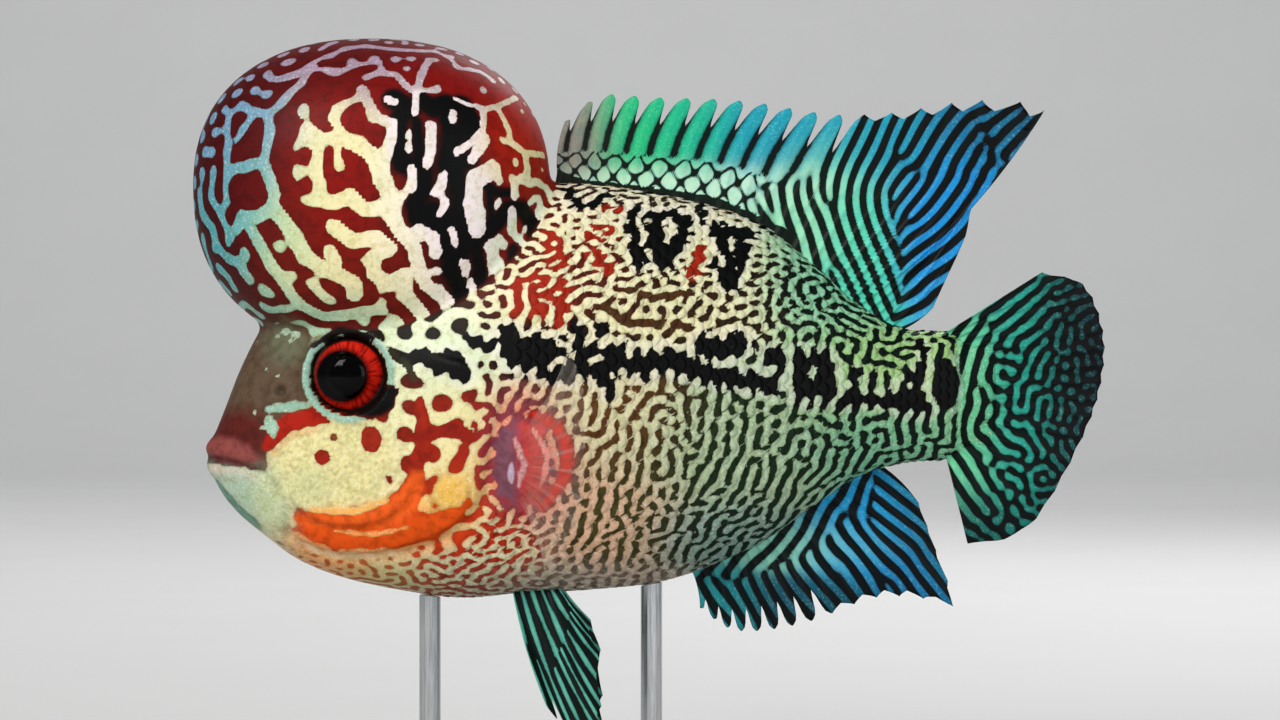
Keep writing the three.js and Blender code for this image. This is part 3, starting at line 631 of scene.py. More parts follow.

# %% [markdown]
# Some marks lie in known places: on the hump the thin pale net, the wide red cells and the black saddle.
# Each is a few strokes, placed as seen from the side. The maze grows round them later and fills
# what they leave.

# %% Main strokes of the hump
# half width, points of the stroke
HUMP_PALE = [
    (0.32, [(-36.8, 106.4), (-33.7, 107.6), (-30.5, 109.5), (-27.7, 110.7), (-24.9, 111.3),
        (-20.0, 110.6), (-15.1, 110.6), (-13.0, 109.3), (-12.0, 108.1), (-9.2, 107.8), (-7.2, 106.5)]),
    (0.39, [(-37.9, 106.4), (-34.7, 106.5), (-31.6, 107.8), (-27.7, 107.5), (-26.0, 108.3),
        (-22.8, 108.8), (-22.3, 107.6), (-24.6, 106.4)]),
    (0.53, [(-31.6, 108.1), (-33.3, 106.0), (-35.1, 104.1), (-36.8, 102.2), (-37.9, 101.5)]),
    (0.63, [(-41.9, 103.0), (-40.0, 102.0), (-37.9, 101.5), (-37.3, 98.8), (-38.0, 96.0), (-38.2, 94.6)]),
    (0.53, [(-43.6, 101.3), (-43.5, 98.8), (-43.3, 96.7), (-43.7, 93.6)]),
    (0.39, [(-43.6, 101.3), (-41.9, 103.0)]), (0.39, [(-39.6, 101.6), (-41.0, 99.5), (-42.2, 98.0)]),
    (0.77, [(-43.5, 92.9), (-42.9, 93.9), (-40.7, 94.5), (-38.2, 94.8)]),
    (0.95, [(-38.2, 94.6), (-37.3, 92.5), (-36.6, 90.4), (-37.2, 88.7), (-38.9, 87.5), (-41.4, 87.3),
        (-42.1, 85.9)]),
    (0.88, [(-47.9, 91.1), (-47.5, 88.3), (-45.9, 86.2), (-45.2, 83.8), (-43.8, 82.0), (-41.7, 81.3),
        (-41.4, 79.9)]), (0.49, [(-45.9, 90.4), (-44.9, 88.7), (-43.5, 85.9), (-43.5, 83.8)]),
    (0.98, [(-40.7, 86.9), (-39.3, 84.5), (-37.9, 82.0), (-36.1, 79.2), (-34.7, 76.8), (-33.0, 75.2),
        (-30.5, 74.0), (-27.7, 74.0), (-24.9, 74.7), (-22.5, 74.7)]),
    (1.26, [(-36.6, 88.3), (-34.7, 85.9), (-33.7, 83.8), (-32.3, 82.0), (-30.2, 80.3), (-27.7, 79.4),
        (-26.0, 78.5), (-26.0, 76.8)]),
    (0.91, [(-32.4, 99.2), (-31.9, 97.8), (-30.5, 96.7), (-31.0, 93.9), (-30.5, 91.8), (-30.5, 89.7),
        (-28.4, 89.2), (-26.3, 90.3), (-24.2, 88.3), (-22.8, 88.7)]),
    (1.05, [(-32.4, 99.2), (-30.2, 98.0), (-27.7, 98.1), (-25.6, 97.1), (-23.5, 96.0), (-22.5, 93.9),
        (-22.1, 92.2), (-20.9, 90.4), (-20.9, 88.0), (-19.7, 85.5), (-17.6, 83.1), (-17.2, 80.6),
        (-16.2, 78.2), (-13.7, 76.4), (-13.0, 74.3)]), (0.53, [(-28.4, 98.1), (-27.8, 94.1)]),
    (0.53, [(-24.9, 105.1), (-25.6, 103.4), (-28.4, 102.3), (-28.8, 100.6), (-27.0, 98.3)]),
    (0.84, [(-24.9, 104.8), (-24.0, 103.0), (-22.8, 100.9), (-20.7, 100.2), (-20.7, 98.1),
        (-21.4, 96.0), (-21.9, 93.6)]),
    (1.19, [(-28.4, 85.9), (-26.0, 84.1), (-22.8, 84.5), (-21.1, 83.1), (-23.2, 82.0), (-23.2, 79.6),
        (-21.1, 78.2), (-19.0, 79.6), (-19.0, 76.8), (-16.9, 74.3)]),
    (1.05, [(-29.1, 82.7), (-28.4, 81.2)]),
    (0.56, [(-22.8, 107.2), (-20.4, 106.9), (-18.1, 104.6), (-14.8, 104.8)]),
    (0.60, [(-16.0, 109.2), (-16.9, 107.2), (-17.4, 105.1), (-17.7, 101.5)]),
    (0.42, [(-12.3, 103.6), (-10.6, 102.9), (-8.1, 102.3), (-6.4, 102.9), (-4.1, 104.3)]),
    (0.56, [(-8.5, 102.3), (-8.5, 99.5), (-10.2, 97.4), (-12.0, 96.2)]),
    (0.49, [(-6.4, 102.2), (-5.1, 99.5), (-4.8, 97.8), (-2.9, 96.4), (-0.4, 96.4)]),
    (0.70, [(-2.9, 96.4), (-2.5, 93.6), (-4.3, 92.2), (-4.3, 90.4)]), (0.49, [(-4.3, 92.5), (-1.1, 92.5)]),
    (0.77, [(-32.8, 102.2), (-32.8, 101.5)]), (0.63, [(-12.5, 101.8), (-12.6, 100.6)]),
    (0.77, [(-21.4, 103.4), (-20.5, 103.0)]),
    (1.58, [(-7.1, 93.9), (-9.5, 92.5), (-9.9, 89.0), (-9.2, 85.9)]), (0.91, [(-8.1, 98.1), (-9.9, 95.3)]),
    (0.98, [(-4.6, 88.3), (-4.6, 85.9)]), (1.12, [(-7.2, 83.8), (-7.2, 81.3)]),
    (1.40, [(-1.1, 88.3), (-0.4, 85.5), (0.3, 82.0)]), (1.05, [(-3.9, 81.0), (-2.9, 82.0), (-1.1, 80.3)]),
    (0.77, [(-0.1, 91.8), (-0.1, 89.0)]), (0.39, [(-18.4, 98.8), (-18.4, 98.1)]),
    (0.39, [(-18.4, 97.1), (-18.4, 96.4)]), (0.84, [(-15.5, 99.7), (-15.5, 97.8)]),
    (0.63, [(-15.6, 96.7), (-16.0, 94.4)]), (0.42, [(-13.5, 93.4), (-13.7, 91.5)]),
    (0.49, [(-15.1, 90.6), (-14.6, 90.8)]), (0.56, [(-13.5, 89.3), (-14.2, 87.8)]),
    (0.49, [(-12.7, 85.7), (-12.1, 83.8)]), (0.39, [(-11.4, 81.5), (-11.0, 79.6)]),
    (0.60, [(-10.3, 78.5), (-10.1, 77.1)]), (1.05, [(-14.8, 82.7), (-15.1, 84.5), (-17.2, 85.5)]),
    (0.98, [(-8.8, 73.6), (-7.8, 76.4)]), (0.56, [(-17.9, 93.9), (-17.9, 91.1)]),
]
HUMP_RED = [
    (1.75, [(-33.3, 102.3), (-35.2, 98.8), (-35.8, 95.3), (-35.1, 91.8), (-34.2, 88.3), (-31.4, 86.8),
        (-30.5, 84.5)]),
    (1.40, [(-30.5, 84.5), (-28.4, 82.7), (-26.0, 80.6), (-24.4, 78.5), (-24.0, 76.4)]),
    (2.98, [(-29.1, 95.7), (-25.6, 93.6), (-24.9, 91.8)]), (1.68, [(-26.0, 100.6), (-25.9, 100.5)]),
    (1.26, [(-27.2, 86.8), (-24.2, 86.1), (-21.4, 85.0), (-19.7, 83.1), (-19.3, 81.0), (-21.4, 81.0)]),
    (2.10, [(-40.7, 96.7), (-40.0, 98.5)]), (2.45, [(-41.7, 91.1), (-39.6, 90.4)]),
    (1.47, [(-37.2, 85.5), (-37.1, 85.5)]), (1.33, [(-35.1, 81.3), (-35.0, 81.2)]),
    (1.19, [(-33.0, 77.5), (-30.5, 74.7)]), (1.12, [(-28.8, 77.3), (-26.3, 75.9)]),
    (1.26, [(-20.7, 75.4), (-18.6, 74.0)]), (0.98, [(-17.0, 76.8), (-15.1, 74.0)]),
    (0.77, [(-39.3, 81.3), (-37.9, 78.5), (-36.1, 77.1)]),
    (2.10, [(-30.5, 102.3), (-29.1, 104.4), (-26.3, 105.5)]), (2.10, [(-14.4, 107.6), (-10.9, 105.5)]),
    (1.75, [(-7.1, 97.1), (-5.3, 95.0)]), (1.05, [(-1.3, 94.5), (-1.1, 93.9)]),
    (1.19, [(-2.9, 90.8), (-2.5, 90.6)]), (0.91, [(-44.3, 83.1), (-44.0, 82.0)]),
    (0.70, [(-46.3, 89.0), (-46.1, 87.6)]), (0.77, [(-46.8, 84.8), (-46.3, 82.0)]),
    (1.40, [(-22.8, 105.5), (-21.4, 106.2)]), (1.05, [(-30.5, 100.6), (-29.5, 99.5)]),
    (0.84, [(-23.0, 98.8), (-22.8, 97.4)]), (2.10, [(-2.9, 99.5), (-1.1, 98.5)]),
    (1.40, [(-6.7, 100.6), (-7.1, 99.5)]), (1.75, [(-42.1, 78.5), (-40.7, 76.4)]),
]
HUMP_BLACK = [
    (1.61, [(-20.4, 103.4), (-18.6, 102.0)]), (1.40, [(-16.9, 103.4), (-15.1, 102.2), (-13.4, 103.0)]),
    (1.61, [(-11.3, 102.7), (-10.2, 100.6), (-10.9, 98.8)]), (1.05, [(-13.0, 102.0), (-13.5, 100.6)]),
    (1.19, [(-19.8, 100.6), (-20.0, 97.8), (-19.3, 94.6), (-17.6, 93.9)]),
    (0.84, [(-17.4, 100.2), (-17.2, 97.8), (-17.0, 95.3)]),
    (1.12, [(-13.0, 99.9), (-12.8, 97.1), (-13.4, 94.6), (-12.0, 92.9)]),
    (0.98, [(-11.6, 94.6), (-9.9, 95.3)]),
    (1.19, [(-16.5, 93.6), (-16.3, 91.1), (-17.6, 89.0), (-17.2, 87.1)]),
    (1.19, [(-12.0, 92.9), (-11.6, 90.4), (-11.3, 88.3)]),
    (1.33, [(-15.5, 88.0), (-13.7, 86.6), (-12.3, 87.3)]),
    (1.12, [(-15.1, 85.9), (-13.7, 83.8), (-13.0, 82.0)]),
    (1.12, [(-11.3, 85.9), (-10.6, 83.8), (-11.6, 82.0)]),
    (0.98, [(-9.5, 84.5), (-9.2, 82.0), (-8.8, 79.9)]),
    (1.33, [(-9.5, 84.5), (-6.7, 86.6), (-5.0, 88.7), (-3.2, 88.7), (-2.0, 86.6), (-2.5, 83.8)]),
    (0.98, [(-4.6, 83.1), (-5.5, 80.3), (-8.1, 78.5)]),
    (1.12, [(-13.0, 80.6), (-12.0, 78.2), (-11.3, 75.7), (-10.6, 74.2)]),
    (0.98, [(-9.2, 79.9), (-8.5, 77.1), (-7.2, 74.7)]), (0.84, [(-8.1, 92.0), (-6.7, 90.8), (-5.1, 90.8)]),
    (0.70, [(-7.6, 91.1), (-7.3, 87.6)]),
]
print("strokes of the hump:", len(HUMP_PALE) + len(HUMP_RED) + len(HUMP_BLACK))

# %% [markdown]
# The flank has the black band along its middle, a row of black marks under the back fin, and red cells
# behind the hump. The band is broken by small pale gaps, and it ends in a black eye spot at the root of
# the tail.

# %% Main strokes of the flank
# half width, points of the stroke
BODY_BLACK = [
    (0.56, [(-18.6, 67.7), (-16.5, 69.1), (-15.1, 66.6)]), (1.19, [(-12.7, 68.0), (-11.3, 66.6)]),
    (1.47, [(-5.0, 71.5), (-3.6, 69.1), (-1.1, 70.1), (1.0, 68.0)]), (0.70, [(-10.2, 70.8), (-7.1, 69.8)]),
    (1.40, [(-1.1, 70.4), (0.3, 66.6), (3.1, 66.2), (4.9, 67.6), (5.9, 69.0), (8.2, 68.0), (10.5, 69.0)]),
    (0.84, [(4.2, 72.7), (4.9, 69.9)]), (0.93, [(7.5, 72.2), (7.6, 72.1)]),
    (0.84, [(8.2, 66.2), (8.7, 63.4)]),
    (1.59, [(7.3, 66.6), (11.0, 68.5), (13.3, 67.1), (15.7, 68.5), (19.4, 67.3)]),
    (1.31, [(19.4, 67.1), (22.7, 65.9), (25.9, 65.5), (29.2, 65.0)]),
    (1.59, [(21.7, 69.9), (24.1, 69.4), (26.4, 70.4)]), (1.40, [(31.1, 68.5), (32.2, 67.6)]),
    (1.03, [(28.7, 65.7), (31.1, 64.3)]), (1.96, [(35.0, 67.6), (35.7, 64.3)]),
    (1.68, [(38.1, 67.6), (38.8, 63.8)]), (1.03, [(40.9, 62.2), (43.7, 62.7), (47.4, 62.4)]),
    (0.61, [(43.0, 66.6), (42.3, 63.4)]), (0.51, [(45.1, 65.7), (44.8, 62.9)]),
    (1.87, [(49.7, 62.7), (52.1, 62.2)]), (1.03, [(51.1, 65.2), (52.5, 67.1)]),
    (0.75, [(52.3, 70.4), (52.5, 68.5)]), (0.89, [(12.4, 88.8), (11.7, 86.7), (12.3, 84.4), (12.9, 80.9)]),
    (1.40, [(15.2, 87.9), (15.0, 85.3), (15.8, 81.6)]),
    (1.31, [(17.3, 88.2), (19.2, 87.4), (18.7, 85.4), (17.5, 83.2), (16.2, 81.3)]),
    (0.61, [(21.5, 89.5), (21.5, 87.2)]), (1.26, [(23.4, 86.7), (24.3, 84.4), (25.6, 81.8), (25.2, 78.3)]),
    (1.40, [(25.0, 86.1), (26.9, 85.1), (27.9, 85.7)]), (1.26, [(27.0, 83.9), (26.3, 81.3)]),
    (0.79, [(23.1, 81.2), (25.0, 79.5)]), (0.70, [(2.8, 91.8), (4.2, 89.3), (6.8, 89.5), (8.2, 90.9)]),
    (0.51, [(10.5, 93.2), (14.3, 91.3), (18.9, 91.8), (22.7, 90.6), (26.9, 89.0), (31.1, 85.8)]),
    (2.30, [(-3.6, 69.0), (0.4, 68.6)]), (1.40, [(-13.0, 68.2), (-11.4, 66.4)]),
    (1.10, [(-18.4, 68.2), (-16.2, 68.6), (-14.6, 67.2), (-12.0, 67.6)]),
    (1.70, [(-5.0, 70.6), (-3.2, 68.4), (-0.8, 69.6), (1.2, 67.8)]),
]
BODY_RED = [
    (0.91, [(-3.6, 78.5), (-3.9, 74.7)]), (0.84, [(-0.8, 79.2), (-0.1, 75.4)]),
    (1.59, [(-1.1, 78.8), (-0.9, 75.5)]), (1.12, [(0.7, 85.3), (1.7, 81.1)]),
    (1.12, [(2.1, 78.3), (2.1, 73.6)]), (1.40, [(6.3, 85.3), (8.2, 85.8)]),
    (1.12, [(6.8, 82.5), (8.2, 80.6)]), (0.70, [(7.7, 89.3), (10.5, 88.6)]),
    (0.84, [(21.3, 83.4), (20.1, 79.7)]), (0.65, [(-0.7, 94.6), (-0.6, 93.2)]),
]
BODY_BROWN = [
    (0.75, [(11.9, 77.8), (15.2, 76.4), (18.9, 77.1)]),
    (0.84, [(8.2, 75.5), (11.0, 73.4), (14.7, 72.9), (18.9, 72.5)]),
]
BODY_PALE = [
    (0.42, [(1.9, 68.1), (0.7, 67.0)]), (0.47, [(6.3, 67.9), (7.5, 68.4)]),
    (0.42, [(11.2, 69.9), (11.6, 68.5)]), (0.51, [(24.1, 67.5), (25.5, 67.9)]),
    (0.47, [(31.1, 66.9), (29.4, 66.2)]), (0.51, [(33.3, 70.4), (33.5, 65.2)]),
    (0.33, [(36.2, 65.9), (36.8, 66.7)]), (0.51, [(40.5, 67.6), (40.9, 63.6)]),
    (0.37, [(43.9, 65.5), (44.1, 63.4)]), (0.37, [(46.1, 65.2), (46.3, 63.1)]),
    (0.47, [(53.3, 69.0), (53.5, 65.2), (53.2, 62.4)]), (0.42, [(48.3, 66.2), (48.7, 64.1)]),
    (0.56, [(16.5, 84.5), (17.3, 85.9)]), (0.42, [(25.6, 83.8), (25.8, 83.2)]),
    (0.42, [(17.3, 85.3), (17.5, 86.0)]), (0.56, [(15.2, 70.4), (15.7, 69.2)]),
    (0.42, [(19.9, 70.4), (20.1, 68.5)]), (0.37, [(26.9, 67.1), (27.3, 66.2)]),
]
# x, z, reach in x, reach in z
EYE_SPOT = (55.6, 64.6, 1.75, 3.5)
print("strokes of the flank:", len(BODY_BLACK) + len(BODY_RED) + len(BODY_BROWN) + len(BODY_PALE))

# %% [markdown]
# The maze is flat and the fish is round. Seen from the side its lines would crowd together towards the
# outline, where the skin turns away. So each point of the skin looks up the maze on a chart, at its side
# view plus the depth that the skin has turned away. The strokes are moved to the same charts.


# %% Roll the sides out into charts
def line_share(x, z, strokes, spread=1.0, soft=0.35, jag=0.0):
    """1 on the strokes and 0 off them. Jag gives their edges teeth, in mm."""
    most = np.zeros(np.shape(x))
    side = np.column_stack([np.ravel(x), np.ravel(z)])
    for half, way in strokes:
        near = (side[:, 0] > min(p[0] for p in way) - 4) & (side[:, 0] < max(p[0] for p in way) + 4)
        near &= (side[:, 1] > min(p[1] for p in way) - 4) & (side[:, 1] < max(p[1] for p in way) + 4)
        share = np.zeros(len(side))
        if near.any():
            gap, _ = line_distance(side[near], way)
            u, v = side[near].T
            gap = gap + jag * np.sin(u * 3.5 + 2.2 * np.sin(v * 0.9 + u * 0.4))
            share[near] = ease(half * spread + soft, half * spread - soft, gap)
        most = np.maximum(most, share.reshape(np.shape(x)))
    return most


def body_chart(x, y, z):
    """Where a point of the skin lies on the chart of the flank: as seen from the side, rolled out."""
    _, _, half, middle, _, _ = body_at(x)
    turned = np.clip(half - np.abs(y), 0, None)
    return x, z + np.sign(z - middle) * 0.85 * turned * ease(0, 0.35, turned / np.maximum(half, 0.1))


def hump_chart(x, y, z):
    """The same for the hump, rolled out from the middle of its side."""
    from_x, from_z = x - HUMP["x"], z - HUMP["z"]
    away = np.hypot(from_x, from_z) + 1e-6
    push = 0.8 * np.clip(HUMP["wide"] - np.abs(y), 0, None) * ease(2, 12, away)
    return x + from_x / away * push, z + from_z / away * push


def hump_side(x, z):
    """Half the hump's width at points of its side view."""
    return HUMP["wide"] * np.clip(1 - hump_fill(x, 0, z), 0, 1) ** (1 / HUMP["fullness"])


def charted(strokes, chart, side):
    """Strokes drawn as seen from the side, moved to their places on a chart."""
    moved = []
    for half, way in strokes:
        x, z = np.array(way, float).T
        u, v = chart(x, side(x, z), z)
        moved.append((half, list(zip(u.tolist(), v.tolist()))))
    return moved


BODY_EXTENT = (-58.0, 66.0, 10.0, 118.0)
HUMP_EXTENT = (-72.0, 22.0, 48.0, 136.0)
grid_x, grid_z = cells_of(BODY_EXTENT)
hump_x, hump_z = cells_of(HUMP_EXTENT)
body_strokes = {"black": BODY_BLACK, "red": BODY_RED, "brown": BODY_BROWN, "pale": BODY_PALE}
hump_strokes = {"pale": HUMP_PALE, "red": HUMP_RED, "black": HUMP_BLACK}
pins = {name: charted(strokes, body_chart, half_width_at) for name, strokes in body_strokes.items()}
hump_pins = {name: charted(strokes, hump_chart, hump_side) for name, strokes in hump_strokes.items()}
print("cells of the charts:", grid_x.size, "and", hump_x.size)

# %% [markdown]
# The leans of the zones and the strokes add up to one map of where the coat should be dark. The maze
# grows on it once for each side of the fish, from another seed, so the two sides share their main marks
# and no line.

# %% Grow the coat of both sides
_, _, body_lean = zone_mix(BODY_ZONES, grid_x, grid_z)
body_slant, body_strict = zone_slant(SLANTS, grid_x, grid_z)
black = line_share(grid_x, grid_z, pins["black"], 0.92, 0.35, 0.42)
around = [(half + 0.9, way) for half, way in pins["black"]]
halo = np.clip(line_share(grid_x, grid_z, around, 1.0, 0.5) - black * 1.2, 0, 1)
red = line_share(grid_x, grid_z, pins["red"], 1.0, 0.35, 0.3)
marks = np.maximum(red, 0.7 * line_share(grid_x, grid_z, pins["brown"]))
holes = line_share(grid_x, grid_z, pins["pale"])
body_lean = body_lean * (1 - black) + 2.5 * black - 0.45 * halo + 1.7 * marks - 3.6 * holes

_, _, hump_lean = zone_mix(HUMP_ZONES, hump_x, hump_z)
net = line_share(hump_x, hump_z, hump_pins["pale"], 1.0, 0.25)
ink = line_share(hump_x, hump_z, hump_pins["black"], 1.4, 0.3, 0.3)
filled = np.maximum(line_share(hump_x, hump_z, hump_pins["red"]), 1.35 * ink)
hump_lean = hump_lean + 2.3 * filled * (1 - net) - (4.0 - 0.9 * ink) * net

large = ease(-6, -14, grid_x) * ease(34, 44, grid_z)
hump_large = ease(-19, -24, hump_x)
mazes = []
for seed in (11, 12):
    on_body = grow_maze(grid_x.shape, seed, [(1.85, 1 - large), (3.8, large)], body_lean, body_slant,
                        body_strict, rounds=6, disorder=0.85, spread=0.55)
    on_hump = grow_maze(hump_x.shape, seed + 10, [(3.9, hump_large), (3.0, 1 - hump_large)], hump_lean,
                        disorder=0.22, spread=0.5)
    mazes.append((on_body, on_hump))
print("mazes:", len(mazes) * 2, "dark share on a flank:", round(float((mazes[0][0] > 0).mean()), 2))

# %% [markdown]
# The fins carry the maze on as stripes: along the rays towards the edge, and slanting across them near
# the body, so that the two meet in rows of chevrons. One chart of the side view holds the three fins of
# the middle plane. The skin at the root of the tail reads the same chart, so its stripes run on into the
# fin.

# %% Grow the stripes of the fins
# x, z, reach in x, reach in z, strength, pale colour, dark colour, lean towards dark
FIN_ZONES = [
    (3.0, 100.0, 4.6, 6.0, 1.3, "#8a7f74", "#16140e", 0.0),
    (11.5, 101.0, 4.5, 6.0, 1.0, "#1cb878", "#03150c", 0.0),
    (20.0, 101.0, 5.0, 6.0, 1.0, "#1cb482", "#021410", -0.1),
    (30.0, 100.0, 7.0, 6.0, 1.0, "#1898aa", "#02100f", -0.1),
    (20.0, 92.4, 15.0, 2.2, 1.3, "#c6e8c8", "#04140a", 0.0),
    (36.0, 88.0, 5.0, 6.0, 1.0, "#9adcb0", "#04140a", -0.1),
    (43.0, 84.0, 4.5, 9.0, 1.0, "#54d0ac", "#031208", 0.05),
    (56.0, 88.0, 6.0, 8.0, 1.0, "#128cd0", "#010608", 0.35),
    (48.0, 98.0, 6.0, 5.0, 0.9, "#1c94ac", "#010807", 0.2),
    (62.0, 100.5, 7.0, 4.0, 1.0, "#146a8e", "#010506", 0.5),
    (71.0, 102.5, 4.0, 3.0, 1.0, "#0c4258", "#010405", 0.6),
    (59.5, 63.0, 3.6, 10.0, 1.0, "#74d09a", "#021008", 0.0),
    (66.0, 64.0, 5.0, 14.0, 1.0, "#1f9a84", "#010c09", 0.15),
    (73.0, 64.0, 3.5, 18.0, 1.0, "#0f5a56", "#010605", 0.3),
    (78.5, 62.0, 5.0, 24.0, 2.2, "#06242e", "#010304", 0.7),
    (61.0, 43.0, 8.0, 5.0, 0.8, "#0e5c54", "#010605", 0.3),
    (33.0, 42.0, 10.0, 2.4, 1.0, "#8ccab0", "#04120e", 0.0),
    (43.0, 42.5, 6.0, 4.0, 1.0, "#1a98ca", "#01080c", 0.15),
    (50.0, 40.0, 5.0, 5.0, 1.0, "#1272a4", "#01060a", 0.3),
    (36.0, 34.0, 10.0, 3.0, 1.0, "#0e4c5c", "#010506", 0.4),
    (24.0, 35.0, 4.0, 4.0, 1.0, "#1c8c90", "#010c0c", 0.2),
    (4.0, 26.0, 10.0, 12.0, 1.0, "#62b49c", "#030f0b", 0.0),
]
# x, z, reach in x, reach in z, strength, angle of the stripes, how strictly they keep to it
FIN_SLANTS = [
    (22, 96, 8, 6, 1, 70, 0.9), (33, 95, 4, 6, 1, 66, 0.9), (31, 88.5, 5, 3, 1, -60, 0.8),
    (37, 86, 4.5, 6, 1, -68, 0.95), (42, 84, 4, 9, 1, -70, 0.98), (46, 79, 3.5, 6, 1, -66, 0.98),
    (41, 96, 4, 5, 1, 66, 0.9), (50, 99, 4, 5, 1, 58, 0.95), (56, 95, 5, 5, 1, 52, 0.98),
    (55, 87, 4, 4, 1, 44, 0.98), (54, 80, 4, 4, 1, 34, 0.98), (64, 101, 6, 4, 1, 45, 0.98),
    (52, 74.4, 4, 2, 1, 22, 0.95), (27, 39.5, 5, 2, 1, 40, 0.8), (34, 43, 5, 2.5, 1, 52, 0.9),
    (41, 48.5, 4, 3, 1, 58, 0.9), (24, 34, 4, 3, 1, -62, 0.9), (32, 35, 5, 4, 1, -58, 0.95),
    (42, 39, 6, 5, 1, -50, 0.98), (51, 38, 5, 5, 1, -46, 0.98), (50, 47, 4, 4, 1, -36, 0.95),
    (59, 70, 2.5, 3, 1, 70, 0.8), (65, 74, 6, 4, 1, 34, 0.95), (73, 77, 5, 3, 1, 28, 0.9),
    (65, 66, 5, 4, 1, 84, 0.75), (73, 66, 5, 6, 1, 80, 0.3), (59.5, 62, 2, 5, 1, 86, 0.7),
    (65, 55, 5, 4, 1, -48, 0.95), (62, 48, 4, 5, 1, -52, 0.95), (73, 52, 5, 6, 1, -50, 0.5),
]
FIN_EXTENT = (-4.0, 84.0, 24.0, 110.0)
fin_x, fin_z = cells_of(FIN_EXTENT)
_, _, fin_lean = zone_mix(FIN_ZONES, fin_x, fin_z)
fin_slant, fin_strict = zone_slant(FIN_SLANTS, fin_x, fin_z)
fin_strict = fin_strict * (0.7 - 0.48 * ease(57, 61, fin_x))
fine = ease(60, 74, fin_x) * ease(94, 84, fin_z)
fin_maze = grow_maze(fin_x.shape, 41, [(2.05, 1 - fine), (1.6, fine)], fin_lean, fin_slant, fin_strict,
                     rounds=7, disorder=0.6, turns=14, spread=0.45)
print("dark share on the chart of the fins:", round(float((fin_maze > 0).mean()), 2))

# %% [markdown]
# Each point of the skin now looks up its place on the charts: how far up the maze stands there, and which
# two colours it chooses between. The left and the right side read their own mazes. The hump's chart takes
# over where the hump begins, and the chart of the fins where the tail fin does.


# %% Read the coat at points of the skin
def coat(points):
    """Maze, pale colour and dark colour at points on the skin."""
    x, y, z = points.T
    body_u, body_v = body_chart(x, y, z)
    hump_u, hump_v = hump_chart(x, y, z)
    on_hump = ease(1.13, 1.05, hump_fill(x, y, z)) * (z > 66)
    right = ease(-1.5, 1.5, y)
    maze = np.zeros(len(x))
    for share, (body_maze, hump_maze) in zip((1 - right, right), mazes):
        on_body = sample(body_maze, BODY_EXTENT, body_u, body_v)
        maze += share * between(on_body, sample(hump_maze, HUMP_EXTENT, hump_u, hump_v), on_hump)
    pale, deep, _ = zone_mix(BODY_ZONES, x, z)
    for name, colour in (("red", "#a0240e"), ("brown", "#4a2c12")):
        share = line_share(body_u, body_v, pins[name], 1.5, 0.4)[:, None]
        deep = between(deep, linear(colour), share)
    share = line_share(body_u, body_v, pins["black"], 1.6, 0.4)[:, None]
    deep = deep * (1 - share)
    pale = between(pale, linear("#e6dcdc"), share * 0.35)
    hump_pale, hump_deep, _ = zone_mix(HUMP_ZONES, x, z)
    share = line_share(hump_u, hump_v, hump_pins["black"], 1.35, 0.5)[:, None]
    hump_deep = hump_deep * (1 - share)
    hump_pale = between(hump_pale, linear("#f2e2e6"), share * 0.8)
    cap = on_hump[:, None]
    pale, deep = between(pale, hump_pale, cap), between(deep, hump_deep, cap)
    # the root of the tail fin carries the fin's own stripes
    tail = ease(56.5, 58.5, x)
    fin_pale, fin_deep, _ = zone_mix(FIN_ZONES, x, z)
    maze = between(maze, sample(fin_maze, FIN_EXTENT, x, z), tail)
    return maze, between(pale, fin_pale, tail[:, None]), between(deep, fin_deep, tail[:, None])


print("dark share of the skin without its face:", round(float((coat(skin_points)[0] > 0).mean()), 2))

# %% [markdown]
# The face has no maze. Its marks are laid over the coat one by one, as a painter would: bare skin first,
# then patches, lines and flecks. A brush lays a plain colour on part of the coat, and sets the maze there
# so that the shader shows that colour. Every edge wobbles a little, because no mark of a fish is a clean
# oval.


# %% A brush for the face
class Brush:
    """The coat at points of the skin, and the strokes that change it."""

    def __init__(self, points):
        self.maze, self.pale, self.deep = coat(points)
        self.side = points[:, [0, 2]]
        self.x, self.z = x, z = self.side.T
        flank = np.maximum(ease(2.0, 4.0, np.abs(points[:, 1])), ease(-32, -35, x))
        self.face = flank * ((x <= 20) & (z <= 78))
        self.wobble = 0.35 * np.sin(x * 2.3 + np.sin(z * 1.7)) + 0.25 * np.sin(z * 3.1 + x)

    def lay(self, share, colour, level):
        """Lays a colour over part of the coat, as the dark one at level 1 and the pale one at level -1."""
        share = np.clip(share, 0, 1)
        self.maze = between(self.maze, level, share)
        if level > 0:
            self.deep = between(self.deep, linear(colour), share[:, None])
        else:
            self.pale = between(self.pale, linear(colour), share[:, None])

    def line(self, way, width, colour, level, soft=0.3):
        """A line that is widest in its middle."""
        gap, along = line_distance(self.side, way)
        reach = width * (1 - 0.5 * np.abs(2 * along - 1) ** 3) + self.wobble * 0.25
        self.lay(ease(reach + soft, reach - soft, gap) * self.face, colour, level)

    def spot(self, middle_x, middle_z, reach_x, reach_z, colour, level, soft=0.25):
        """An oval patch."""
        gap = oval(self.x, self.z, middle_x, middle_z, reach_x, reach_z) + self.wobble * 0.12
        self.lay(ease(1 + soft, 1 - soft, gap) * self.face, colour, level)


print("share of the skin that a brush reaches:", round(float((Brush(skin_points).face > 0.5).mean()), 2))

# %% [markdown]
# From front to back: a snout that is olive above and wine below, with pale flecks, flesh-coloured lips,
# and a lower jaw in soft greens.

# %% Snout, lips and lower jaw
# x, z, half height
FLECKS = [(-36.0, 71.9, 0.5), (-34.6, 71.5, 0.55), (-35.3, 70.7, 0.35), (-37.2, 71.3, 0.3),
          (-38.6, 66.6, 0.25), (-37.0, 65.8, 0.2), (-40.2, 60.8, 0.3), (-38.9, 58.6, 0.35)]


